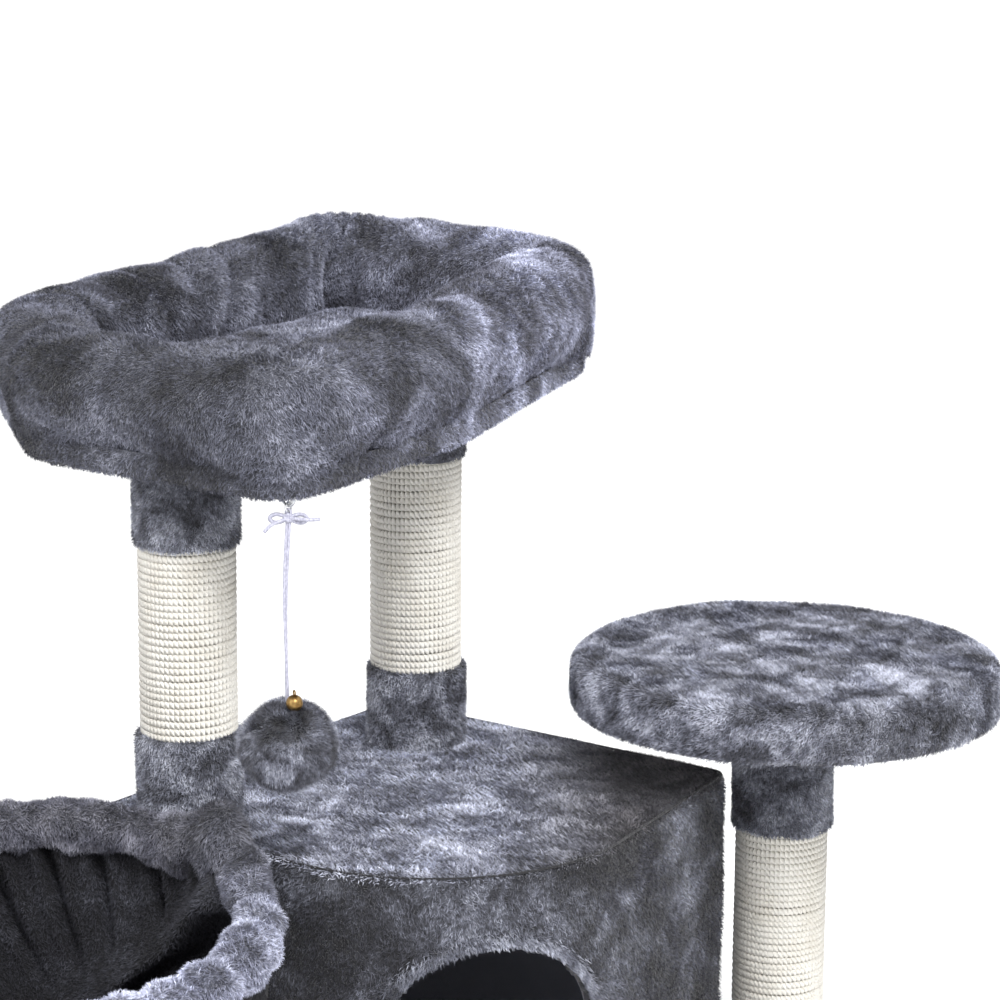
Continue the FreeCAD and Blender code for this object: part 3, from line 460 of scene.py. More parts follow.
# ---- pile: short fibres scattered over a cloth by geometry nodes
def buildPileGrower():
    tree = bpy.data.node_groups.new("pileGrower", "GeometryNodeTree")
    face = tree.interface
    face.new_socket("Geometry", in_out="INPUT", socket_type="NodeSocketGeometry")
    for name, kind in (("Density", "Float"), ("Length", "Float"), ("Width", "Float"), ("Lean", "Float"),
                       ("Swirl", "Float"), ("Swirl Scale", "Float"), ("Untidy", "Float"), ("Comb", "Vector"),
                       ("Seed", "Int")):
        face.new_socket(name, in_out="INPUT", socket_type="NodeSocket" + kind)
    face.new_socket("Geometry", in_out="OUTPUT", socket_type="NodeSocketGeometry")
    start = tree.nodes.new("NodeGroupInput").outputs
    end = tree.nodes.new("NodeGroupOutput")

    def vectors(operation, first, second=None, scale=None):
        node = addNode(tree, "ShaderNodeVectorMath", {0: first}, operation=operation)
        if second is not None:
            tree.links.new(second, node.inputs[1]) if isinstance(second, bpy.types.NodeSocket) else setattr(
                node.inputs[1], "default_value", second)
        if scale is not None:
            tree.links.new(scale, node.inputs["Scale"]) if isinstance(scale, bpy.types.NodeSocket) else setattr(
                node.inputs["Scale"], "default_value", scale)
        return node.outputs[0]

    mask = addNode(tree, "GeometryNodeInputNamedAttribute", {"Name": "pileShare"}, data_type="FLOAT").outputs[0]
    dense = maths(tree, "MULTIPLY", start["Density"], mask)
    scatter = addNode(tree, "GeometryNodeDistributePointsOnFaces", {"Mesh": start["Geometry"], "Seed": start["Seed"]},
                      distribute_method="RANDOM")
    tree.links.new(dense, scatter.inputs["Density"])
    normal = scatter.outputs["Normal"]
    # Each fibre leans along the comb, turned by a slow swirl and a little by chance
    place = tree.nodes.new("GeometryNodeInputPosition").outputs[0]
    slow = addNode(tree, "ShaderNodeTexNoise", {"Vector": place, "Scale": start["Swirl Scale"], "Detail": 2.0})
    turned = vectors("SCALE", vectors("SUBTRACT", slow.outputs["Color"], (0.5, 0.5, 0.5)), scale=start["Swirl"])
    chance = addNode(tree, "FunctionNodeRandomValue", data_type="FLOAT_VECTOR")
    chance.inputs[0].default_value = (-1, -1, -1)
    chance.inputs[1].default_value = (1, 1, 1)
    loose = vectors("SCALE", chance.outputs[0], scale=start["Untidy"])
    lie = vectors("ADD", vectors("ADD", start["Comb"], turned), loose)
    flat = vectors("CROSS_PRODUCT", vectors("CROSS_PRODUCT", normal, lie), normal)
    flat = vectors("NORMALIZE", flat)
    direction = vectors("ADD", normal, vectors("SCALE", flat, scale=start["Lean"]))
    direction = vectors("NORMALIZE", vectors("ADD", direction, vectors("SCALE", chance.outputs[0], scale=0.22)))
    turn = addNode(tree, "FunctionNodeAlignRotationToVector", {"Vector": direction}, axis="X")
    outward = vectors("ADD", normal, loose)
    turn = addNode(tree, "FunctionNodeAlignRotationToVector", {"Rotation": turn.outputs[0], "Vector": outward},
                   axis="Z", pivot_axis="X")
    # One fibre is a single thin triangle, from 0 at its root to 1 at its tip
    fibre = addNode(tree, "GeometryNodeMeshCircle", {"Vertices": 3, "Radius": 1.0}, fill_type="NGON")
    fibre = addNode(tree, "GeometryNodeTransform", {"Geometry": fibre.outputs[0], "Translation": (0.5, 0, 0)})
    along = addNode(tree, "ShaderNodeSeparateXYZ", {0: tree.nodes.new("GeometryNodeInputPosition").outputs[0]})
    stored = addNode(tree, "GeometryNodeStoreNamedAttribute", {"Geometry": fibre.outputs[0], "Name": "alongFibre"},
                     data_type="FLOAT", domain="POINT")
    tree.links.new(maths(tree, "DIVIDE", along.outputs[0], 1.5), stored.inputs["Value"])
    longer = addNode(tree, "FunctionNodeRandomValue", data_type="FLOAT")
    longer.inputs[2].default_value = 0.6
    longer.inputs[3].default_value = 1.15
    reach = maths(tree, "DIVIDE", maths(tree, "MULTIPLY", start["Length"], longer.outputs[1]), 1.5)
    wide = maths(tree, "DIVIDE", start["Width"], 1.732)
    size = addNode(tree, "ShaderNodeCombineXYZ", {0: reach, 1: wide, 2: 1.0}).outputs[0]
    tone = addNode(tree, "FunctionNodeRandomValue", {"Seed": 5}, data_type="FLOAT")
    toned = addNode(tree, "GeometryNodeStoreNamedAttribute", {"Geometry": scatter.outputs["Points"],
                                                              "Name": "fibreTone"}, data_type="FLOAT", domain="POINT")
    tree.links.new(tone.outputs[1], toned.inputs["Value"])
    stand = addNode(tree, "GeometryNodeInstanceOnPoints", {
        "Points": toned.outputs[0], "Instance": stored.outputs[0], "Rotation": turn.outputs[0],
        "Scale": size})
    real = addNode(tree, "GeometryNodeRealizeInstances", {"Geometry": stand.outputs[0]})
    tree.links.new(real.outputs[0], end.inputs["Geometry"])
    return tree


pileGrower = buildPileGrower()
pileSeed = 11


def growPile(cloth, name, share, pile):
    # share says for each point of the cloth how thick the pile is, from 0 to 1
    global pileSeed
    pileSeed += 1
    piece = copyPiece(cloth, name)
    attribute = piece.data.attributes.new("pileShare", "FLOAT", "POINT")
    attribute.data.foreach_set("value", np.asarray(share, np.float32))
    pickUp(piece)
    modifier = piece.modifiers.new("pile", "NODES")
    modifier.node_group = pileGrower
    values = {"Density": pile["perSquareMetre"], "Length": pile["length"], "Width": pile["width"],
              "Lean": pile["lean"], "Swirl": pile["swirl"], "Swirl Scale": pile["swirlScale"],
              "Untidy": pile["untidy"], "Comb": pile["comb"], "Seed": pileSeed}
    for item in pileGrower.interface.items_tree:
        if item.in_out == "INPUT" and item.name in values:
            modifier[item.identifier] = values[item.name]
    bpy.ops.object.modifier_apply(modifier=modifier.name)
    print(name, len(piece.data.polygons), "fibres")
    return piece


shortPile = {"perSquareMetre": 620000.0, "length": 0.0042, "width": 0.0009, "lean": 1.0, "swirl": 2.6,
             "swirlScale": 26.0, "untidy": 0.85, "comb": (0.0, 0.0, -0.8)}


# ---- the cord and its bow come first, because what they measure is checked
cord = {
    "route": [(0.0405, -0.11826, 0.54676), (0.0382, -0.11986, 0.50793), (0.0385, -0.11946, 0.46409),
              (0.0393, -0.11916, 0.4215)],
    "strand": 0.00104,
    "apart": 0.00090,
    "length": 0.1254,
    "diameter": 0.0034,
}


def curveObject(name, points, order=3, closed=False):
    curve = bpy.data.curves.new(name, "CURVE")
    curve.dimensions = "3D"
    spline = curve.splines.new("NURBS")
    spline.points.add(len(points) - 1)
    for point, place in zip(spline.points, points):
        point.co = (*place, 1)
    spline.order_u = order
    spline.use_endpoint_u = not closed
    spline.use_cyclic_u = closed
    spline.resolution_u = 12
    piece = bpy.data.objects.new(name, curve)
    bpy.context.scene.collection.objects.link(piece)
    return piece


def curveToMesh(piece):
    pickUp(piece)
    bpy.ops.object.convert(target="MESH")
    editAll(piece)
    bpy.ops.mesh.remove_doubles(threshold=0.000005)
    bpy.ops.mesh.normals_make_consistent(inside=False)
    leaveEdit()
    return piece


def centrePoints(route):
    line = curveObject("routeLine", route)
    mesh = bpy.data.meshes.new_from_object(line)
    points = [tuple(vertex.co) for vertex in mesh.vertices]
    bpy.data.meshes.remove(mesh)
    bpy.data.objects.remove(line)
    return points


def makeCord(plan):
    # Doubled white elastic: two strands side by side that turn a little round each other
    middle = centrePoints(plan["route"])
    strands = []
    for side in (-1, 1):
        points = []
        for index, place in enumerate(middle):
            turn = 0.6 + 2.2 * index / len(middle)
            points.append((place[0] + side * plan["apart"] * math.cos(turn),
                           place[1] + side * plan["apart"] * math.sin(turn), place[2]))
        strand = curveObject("strand", points)
        strand.data.bevel_depth = plan["strand"]
        strand.data.bevel_resolution = 3
        strand.data.use_fill_caps = True
        strands.append(curveToMesh(strand))
    piece = joinPieces("toy_cord_elastic", strands)
    smoothShade(piece)
    finishPiece(piece, whiteElastic, "toy", ["toy_cord"])
    return piece, middle


bow = {"wire": 0.0014, "loop": 0.0080, "leftTail": 0.0155, "rightTail": 0.0210, "knot": 0.0036}


def makeBow(plan):
    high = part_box("toy_bow")[1]
    cordTop = Vector(cord["route"][0])
    knotPlace = cordTop + Vector((0, 0, plan["knot"] * 0.75))
    across = Vector((0.81, 0.58, 0))
    forwards = Vector((0.58, -0.81, 0))
    down = Vector((0, 0, -1))
    members = []
    for side, tail, drop, ahead in ((-1, plan["leftTail"], 0.55, 0.35), (1, plan["rightTail"], -0.02, 0.25)):
        reach = plan["loop"]
        loop = [knotPlace, knotPlace + across * side * reach * 0.9 + down * -reach * 0.45,
                knotPlace + across * side * reach * 1.75 + down * reach * 0.05,
                knotPlace + across * side * reach * 0.9 + down * reach * 0.55 + forwards * reach * 0.2, knotPlace]
        members.append((curveObject("bowLoop", [tuple(p) for p in loop]), plan["wire"]))
        end = [knotPlace, knotPlace + (across * side * 0.45 + down * drop * 0.2 + forwards * ahead) * tail,
               knotPlace + (across * side * 0.8 + down * drop * 0.5 + forwards * ahead * 1.2) * tail,
               knotPlace + (across * side + down * drop + forwards * ahead) * tail]
        members.append((curveObject("bowTail", [tuple(p) for p in end]), plan["wire"] * 0.9))
    meshes = []
    for curve, wire in members:
        curve.data.bevel_depth = wire
        curve.data.bevel_resolution = 2
        curve.data.use_fill_caps = True
        meshes.append(curveToMesh(curve))
    # The knot is two turns of the same elastic drawn tight
    for turn in range(2):
        bpy.ops.mesh.primitive_torus_add(major_segments=28, minor_segments=10, major_radius=plan["knot"] * 0.62,
                                         minor_radius=plan["knot"] * 0.42, location=knotPlace,
                                         rotation=(math.radians(78 - 40 * turn), 0.25, 0.62 + 0.35 * turn))
        meshes.append(bpy.context.object)
        applyPlace(meshes[-1])
    eye = (Vector((cordTop.x, cordTop.y, high.z - 0.0031)))
    bpy.ops.mesh.primitive_torus_add(major_segments=28, minor_segments=8, major_radius=0.0024, minor_radius=0.0007,
                                     location=eye, rotation=(math.radians(90), 0, 0))
    meshes.append(bpy.context.object)
    applyPlace(meshes[-1])
    piece = joinPieces("toy_bow_elastic", meshes)
    smoothShade(piece)
    return finishPiece(piece, whiteElastic, "toy", ["toy_bow"])


toyCord, cordLine = makeCord(cord)
toyBow = makeBow(bow)
print("cord and bow made")

# ---- posts: sisal rope wound on the tube, plush sleeves above and below
rope = {"pitch": 0.0049, "radius": 0.0033, "lobe": 0.07, "plies": 3, "twist": 0.0115, "tucked": 0.003}


def makeSisal(post):
    low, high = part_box(post + "_sisal")
    centre = (low + high) / 2
    outer = (high.x - low.x) / 2
    winding = outer - rope["radius"] + 0.0004
    # The first and last turns are tucked under the sleeves
    first = low.z - rope["tucked"]
    turns = (high.z - low.z + 2 * rope["tucked"]) / rope["pitch"]
    perTurn = 60
    count = int(turns * perTurn)
    rng = np.random.default_rng(int(centre.x * 10000) % 997)
    waver = np.cumsum(rng.normal(0, 0.00005, count))
    waver -= np.linspace(0, waver[-1], count)
    steps = np.arange(count)
    angle = steps / perTurn * 2 * math.pi
    heights = first + steps / perTurn * rope["pitch"] + waver
    curve = bpy.data.curves.new("windingCurve", "CURVE")
    curve.dimensions = "3D"
    curve.twist_mode = "Z_UP"
    spline = curve.splines.new("POLY")
    spline.points.add(count - 1)
    places = np.stack([centre.x + winding * np.cos(angle), centre.y + winding * np.sin(angle), heights,
                       np.ones(count)], 1)
    spline.points.foreach_set("co", places.reshape(-1))
    spline.points.foreach_set("tilt", angle * winding * 2 * math.pi / rope["twist"])
    section = bpy.data.curves.new("ropeSection", "CURVE")
    section.dimensions = "2D"
    outline = section.splines.new("POLY")
    sides = 15
    outline.points.add(sides - 1)
    for index, point in enumerate(outline.points):
        around = index / sides * 2 * math.pi
        radius = rope["radius"] * (1 - rope["lobe"] * 0.5 + rope["lobe"] * 0.5 * math.cos(rope["plies"] * around))
        point.co = (radius * math.cos(around), radius * math.sin(around), 0, 1)
    outline.use_cyclic_u = True
    sectionPiece = bpy.data.objects.new("ropeSection", section)
    bpy.context.scene.collection.objects.link(sectionPiece)
    curve.bevel_mode = "OBJECT"
    curve.bevel_object = sectionPiece
    curve.use_fill_caps = True
    piece = bpy.data.objects.new(post + "_rope", curve)
    bpy.context.scene.collection.objects.link(piece)
    curveToMesh(piece)
    bpy.data.objects.remove(sectionPiece)
    smoothShade(piece, 80)
    print(piece.name, len(piece.data.polygons), "faces")
    return finishPiece(piece, sisalRope, "tree", [post + "_sisal"])


def ringStack(name, centre, rings, segments):
    # A circle drawn up through rings of (radius, height) by extruding and scaling its edge loop
    radius, height = rings[0]
    bpy.ops.mesh.primitive_circle_add(vertices=segments, radius=radius, location=(centre.x, centre.y, height))
    piece = bpy.context.object
    piece.name = name
    applyPlace(piece)
    editAll(piece)
    last = rings[0]
    for ring in rings[1:]:
        bpy.ops.mesh.extrude_edges_move(TRANSFORM_OT_translate={"value": (0, 0, ring[1] - last[1])})
        share = ring[0] / last[0]
        bpy.ops.transform.resize(value=(share, share, 1), center_override=(centre.x, centre.y, ring[1]))
        last = ring
    bpy.ops.mesh.select_all(action="SELECT")
    bpy.ops.mesh.normals_make_consistent(inside=False)
    leaveEdit()
    return piece


sleeve = {"segments": 96, "rows": 14, "thick": 0.0035, "ripple": 0.0009}


def makeSleeves(post):
    low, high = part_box(post + "_sleeves")
    centre = (low + high) / 2
    outer = (high.x - low.x) / 2 - 0.0015
    ropeLow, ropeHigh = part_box(post + "_sisal")
    clothes = []
    for number, (bottom, top) in enumerate(((low.z, ropeLow.z - 0.0003), (ropeHigh.z + 0.0003, high.z))):
        rings = []
        for row in range(sleeve["rows"] + 1):
            share = row / sleeve["rows"]
            rings.append((outer, bottom + (top - bottom) * share))
        if number == 0:
            rings[-1] = (outer, top - 0.003)
            rings += [(outer - 0.0008, top - 0.001), (outer - 0.0034, top)]
        else:
            rings[0] = (outer, bottom + 0.003)
            rings = [(outer - 0.0034, bottom), (outer - 0.0008, bottom + 0.001)] + rings
        cloth = ringStack("sleeveCloth", centre, rings, sleeve["segments"])
        points = getPoints(cloth)
        pushOut(cloth, smoothNoise(points, 0.05, 40 + number + int(abs(centre.x) * 1000)) * sleeve["ripple"])
        edge = ropeLow.z if number == 0 else ropeHigh.z
        points = getPoints(cloth)
        near = np.exp(-((points[:, 2] - edge) / 0.012) ** 2)
        points[:, 2] += near * smoothNoise(points, 0.07, 77 + number) * 0.0008
        setPoints(cloth, points)
        clothes.append(cloth)
    skin = joinPieces(post + "_sleeve_plush", clothes)
    pile = growPile(skin, post + "_sleeve_pile", np.ones(len(skin.data.vertices)),
                    {**shortPile, "perSquareMetre": 900000.0, "swirl": 2.0})
    applyModifier(skin, "SOLIDIFY", thickness=sleeve["thick"], offset=-1)
    smoothShade(skin)
    finishPiece(skin, postPlush, "tree", [post + "_sleeves"])
    finishPiece(pile, postPlush, "tree")


for post in ("front_post", "rear_post", "side_post"):
    makeSisal(post)
    makeSleeves(post)
print("posts made")


# ---- solid block under a top face, remeshed into an even skin
def coverBlock(name, node, low, high, voxel, facing=-1):
    # The node's own outline, from its flat bottom (facing -1) or top (1), drawn out between two heights
    piece = copyNode(name, node)
    heights = getPoints(piece)[:, 2]
    level = heights.min() if facing < 0 else heights.max()
    deleteFaces(piece, lambda centre, normal: normal.z * facing < 0.9 or abs(centre.z - level) > 0.0001)
    bpy.ops.object.mode_set(mode="EDIT")
    bpy.ops.mesh.select_all(action="SELECT")
    bpy.ops.mesh.extrude_region_move(TRANSFORM_OT_translate={"value": (0, 0, 0.01)})
    bpy.ops.mesh.select_all(action="SELECT")
    bpy.ops.mesh.normals_make_consistent(inside=False)
    leaveEdit()
    points = getPoints(piece)
    upper = points[:, 2] > points[:, 2].min() + 0.005
    points[:, 2] = np.where(upper, high, low)
    setPoints(piece, points)
    applyModifier(piece, "REMESH", mode="VOXEL", voxel_size=voxel, use_smooth_shade=True)
    return piece


# ---- den: plush over the walls and top, with the doorway in its rounded corner
den = {"voxel": 0.0045, "skin": 0.0035, "doorRadius": 0.0765, "ripple": 0.0016, "folds": 0.0024, "seam": 0.0016,
       "seamWire": 0.0009, "seamInset": 0.011, "aside": 0.010, "splay": (0.053, 0.351), "corner": (0.365, -0.351, -0.1275), "reach": 0.16}


def doorAxis():
    # The doorway's axis, level, through the middle of the wall's rounded corner
    splay = math.atan2(*den["splay"])
    turn = (math.pi / 2 + splay) / 2
    direction = Vector((math.sin(turn), -math.cos(turn), 0))
    coverLow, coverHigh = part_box("den_top_cover")
    corner = Vector((coverLow.x, coverHigh.y, coverHigh.z)) + Vector(den["corner"])
    corner += Vector((math.cos(turn), math.sin(turn), 0)) * den["aside"]
    return corner, direction


def makeDen():
    wallLow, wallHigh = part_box("den_wall_cover")
    topLow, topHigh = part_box("den_top_cover")
    skin = coverBlock("den_plush", "den_top_cover", wallLow.z + 0.001, topHigh.z - 0.001, den["voxel"])
    corner, axis = doorAxis()
    points = getPoints(skin)
    away = points - np.array(corner)
    along = away @ np.array(axis)
    across = away - along[:, None] * np.array(axis)
    distance = np.linalg.norm(across, axis=1)
    inFront = along > -den["reach"]
    # Points near the doorway's edge go onto it, and the faces inside it and under the box come away
    edge = den["doorRadius"]
    near = inFront & (np.abs(distance - edge) < den["voxel"] * 0.75)
    share = (edge / np.maximum(distance, 1e-6))[:, None]
    moved = np.array(corner) + along[:, None] * np.array(axis) + across * share
    points[near] = moved[near]
    setPoints(skin, points)
    cornerPoint = np.array(corner)
    direction = np.array(axis)

    def inside(centre, normal):
        offset = np.array(centre) - cornerPoint
        reach = offset @ direction
        return (reach > -den["reach"] and np.linalg.norm(offset - reach * direction) < edge - 0.0002) or (
            normal.z < -0.7 and centre.z < wallLow.z + 0.01)

    deleteFaces(skin, inside)
    applyModifier(skin, "SMOOTH", factor=0.5, iterations=2)
    points = getPoints(skin)
    normals = getNormals(skin)
    side = np.abs(normals[:, 2]) < 0.5
    # Sewn edge all round the top: a small groove just under the corner
    depth = np.exp(-((points[:, 2] - (topHigh.z - 0.006)) / 0.0022) ** 2)
    lift = -den["seam"] * depth * (np.abs(normals[:, 2]) < 0.8)
    lift += smoothNoise(points, 0.16, 5) * den["ripple"]
    # Slack cloth hangs in long folds round the corner of the front
    angle = np.arctan2(points[:, 1] - cornerPoint[1], points[:, 0] - cornerPoint[0] + 0.25)
    fold = np.sin(points[:, 2] * 46 + angle * 9 + 1.5 * smoothNoise(points, 0.2, 9))
    band = np.exp(-((points[:, 2] - (topHigh.z - 0.035)) / 0.03) ** 2) * (points[:, 1] < -0.02)
    lift += den["folds"] * fold * band * side
    pushOut(skin, lift)
    away = getPoints(skin) - cornerPoint
    along = away @ direction
    distance = np.linalg.norm(away - along[:, None] * direction, axis=1)
    front = along > -den["reach"]
    points = getPoints(skin)
    share = np.where(front, np.clip((distance - edge - 0.004) / 0.006, 0, 1), 1.0)
    share[points[:, 2] < wallLow.z + 0.002] = 0.3
    top = points[:, 2] > topHigh.z - 0.004
    wallPile = growPile(skin, "den_wall_pile", share * ~top, {**shortPile, "perSquareMetre": 450000.0, "swirl": 3.0})
    topPile = growPile(skin, "den_top_pile", top.astype(float),
                       {**shortPile, "perSquareMetre": 900000.0, "swirl": 3.0, "comb": (-0.35, -0.6, 0.0)})
    # Longer, paler fibres stand out round the doorway's edge
    rim = np.exp(-((distance - edge - 0.003) / 0.0035) ** 2) * front
    rimPile = growPile(skin, "den_door_pile", rim,
                       {**shortPile, "perSquareMetre": 3600000.0, "length": 0.0062, "lean": 0.45, "swirlScale": 40.0})
    applyModifier(skin, "SOLIDIFY", thickness=den["skin"], offset=-1)
    smoothShade(skin)
    finishPiece(skin, denPlush, "tree", ["den_wall_cover", "den_top_cover"])
    finishPiece(wallPile, denPlush, "tree")
    finishPiece(topPile, denTopLitPlush, "tree")
    finishPiece(rimPile, fringePlush, "tree")


def makeDenSeam():
    # The stitched line where the top's plush meets the wall's, from the outline of the top cover
    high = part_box("den_top_cover")[1]
    seam = copyNode("den_top_seam", "den_top_cover")
    deleteFaces(seam, lambda centre, normal: normal.z < 0.9)
    pickUp(seam)
    bpy.context.tool_settings.mesh_select_mode = (False, True, False)
    bpy.ops.object.mode_set(mode="EDIT")
    bpy.ops.mesh.select_all(action="SELECT")
    bpy.ops.mesh.region_to_loop()
    bpy.ops.mesh.select_all(action="INVERT")
    bpy.ops.mesh.delete(type="EDGE_FACE")
    leaveEdit()
    bpy.ops.object.convert(target="CURVE")
    seam.data.bevel_depth = den["seamWire"]
    seam.data.bevel_resolution = 2
    curveToMesh(seam)
    points = getPoints(seam)
    points[:, 2] -= points[:, 2].max() - high.z + 0.0009
    middle = (points[:, :2].max(0) + points[:, :2].min(0)) / 2
    points[:, :2] = middle + (points[:, :2] - middle) * (1 - den["seamInset"])
    setPoints(seam, points)
    smoothShade(seam)
    finishPiece(seam, seamThread, "tree")


makeDen()
makeDenSeam()
print("den made")

# ---- base
base = {"voxel": 0.006, "ripple": 0.0007, "skin": 0.0025}


def makeBase():
    low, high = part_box("base_cover")
    skin = coverBlock("base_plush", "base_cover", low.z, high.z - 0.0005, base["voxel"], facing=1)
    deleteFaces(skin, lambda centre, normal: normal.z < -0.7 and centre.z < low.z + 0.008)
    points = getPoints(skin)
    denLow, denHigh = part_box("den_wall_cover")
    under = ((points[:, 0] > denLow.x) & (points[:, 0] < denHigh.x - 0.03) & (points[:, 1] > denLow.y)
             & (points[:, 1] < denHigh.y) & (points[:, 2] > high.z - 0.006))
    pushOut(skin, smoothNoise(points, 0.11, 3) * base["ripple"] * ~under)
    share = 1.0 - under
    share[points[:, 2] < low.z + 0.004] = 0
    pile = growPile(skin, "base_pile", share, {**shortPile, "perSquareMetre": 520000.0, "swirl": 3.0, "comb": (0.3, -0.6, 0.0)})
    applyModifier(skin, "SOLIDIFY", thickness=base["skin"], offset=-1)
    smoothShade(skin)
    finishPiece(skin, denPlush, "tree", ["base_cover"])
    finishPiece(pile, denPlush, "tree")


makeBase()
print("base made")

# ---- platform
platform = {"segments": 160, "edge": 0.011, "ripple": 0.0011, "skin": 0.003}


def makePlatform():
    low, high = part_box("platform_cover")
    centre = (low + high) / 2
    radius = (high.x - low.x) / 2 - 0.001
    edge = platform["edge"]
    top = high.z - 0.002
    rings = [(radius - 0.010, low.z + 0.0004), (radius - 0.004, low.z + 0.0006), (radius - 0.001, low.z + 0.004)]
    rings += [(radius, low.z + share * (top - edge - low.z)) for share in (0.3, 0.5, 0.7, 0.85, 1.0)]
    for step in range(1, 7):
        turn = step / 6 * math.pi / 2
        rings.append((radius - edge + edge * math.cos(turn), top - edge + edge * math.sin(turn)))
    inner = radius - edge
    while inner > 0.006:
        inner *= 0.93 if inner > 0.05 else 0.85
        rings.append((inner, top))
    skin = ringStack("platform_plush", centre, rings, platform["segments"])
    points = getPoints(skin)
    mergePoints(skin, np.hypot(points[:, 0] - centre.x, points[:, 1] - centre.y) < inner * 1.01)
    points = getPoints(skin)
    away = np.hypot(points[:, 0] - centre.x, points[:, 1] - centre.y)
    amount = smoothNoise(points, 0.12, 21) * platform["ripple"]
    amount += 0.0012 * np.exp(-((away - radius * 0.93) / 0.016) ** 2)
    pushOut(skin, amount * (points[:, 2] > low.z + 0.003))
    # Keep the cloth clear of the foam and board inside it
    points = getPoints(skin)
    share = (points[:, 2] > low.z + 0.002).astype(float)
    pile = growPile(skin, "platform_pile", share,
                    {**shortPile, "perSquareMetre": 1150000.0, "length": 0.0048, "swirl": 3.4,
                     "comb": (-0.5, -0.5, -0.6)})
    applyModifier(skin, "SOLIDIFY", thickness=platform["skin"], offset=-1)
    smoothShade(skin)
    finishPiece(skin, platformPlush, "tree", ["platform_cover"])
    finishPiece(pile, platformPlush, "tree")


makePlatform()
print("platform made")

# ---- bed
bed = {"voxel": 0.0055, "padVoxel": 0.0055, "bandVoxel": 0.0045, "bandSkin": 0.002, "shrink": 0.004,
       "pressure": 4.0, "cap": 0.011, "frames": 18, "overhang": 0.0045, "bandUp": 0.005,
       "heights": (0.058, 0.081, 0.096, 0.086)}  # crest above the board: front left, front right, back left, back right


def inflate(piece, plan):
    # Cloth filled by pressure, with no point moved further than the cap
    rest = getPoints(piece)
    pickUp(piece)
    cloth = piece.modifiers.new("cloth", "CLOTH")
    settings = cloth.settings
    settings.quality = 4
    settings.mass = 0.25
    settings.tension_stiffness = 22
    settings.compression_stiffness = 14
    settings.shear_stiffness = 6
    settings.bending_stiffness = 0.4
    settings.use_pressure = True
    settings.uniform_pressure_force = plan["pressure"]
    settings.effector_weights.gravity = 0
    cloth.collision_settings.use_collision = False
    scene = bpy.context.scene
    for step in range(1, plan["frames"] + 1):
        scene.frame_set(step)
    depsgraph = bpy.context.evaluated_depsgraph_get()
    shape = piece.evaluated_get(depsgraph).to_mesh()
    swollen = np.zeros(len(shape.vertices) * 3)
    shape.vertices.foreach_get("co", swollen)
    piece.evaluated_get(depsgraph).to_mesh_clear()
    piece.modifiers.remove(cloth)
    scene.frame_set(1)
    move = swollen.reshape(-1, 3) - rest
    length = np.linalg.norm(move, axis=1)
    move *= (np.minimum(length, plan["cap"]) / np.maximum(length, 1e-9))[:, None]
    setPoints(piece, rest + move)


def bedShare(points):
    low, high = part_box("bed_board")
    u = np.clip((points[:, 0] - low.x) / (high.x - low.x), -0.05, 1.05)
    v = np.clip((points[:, 1] - low.y) / (high.y - low.y), -0.05, 1.05)
    return u, v


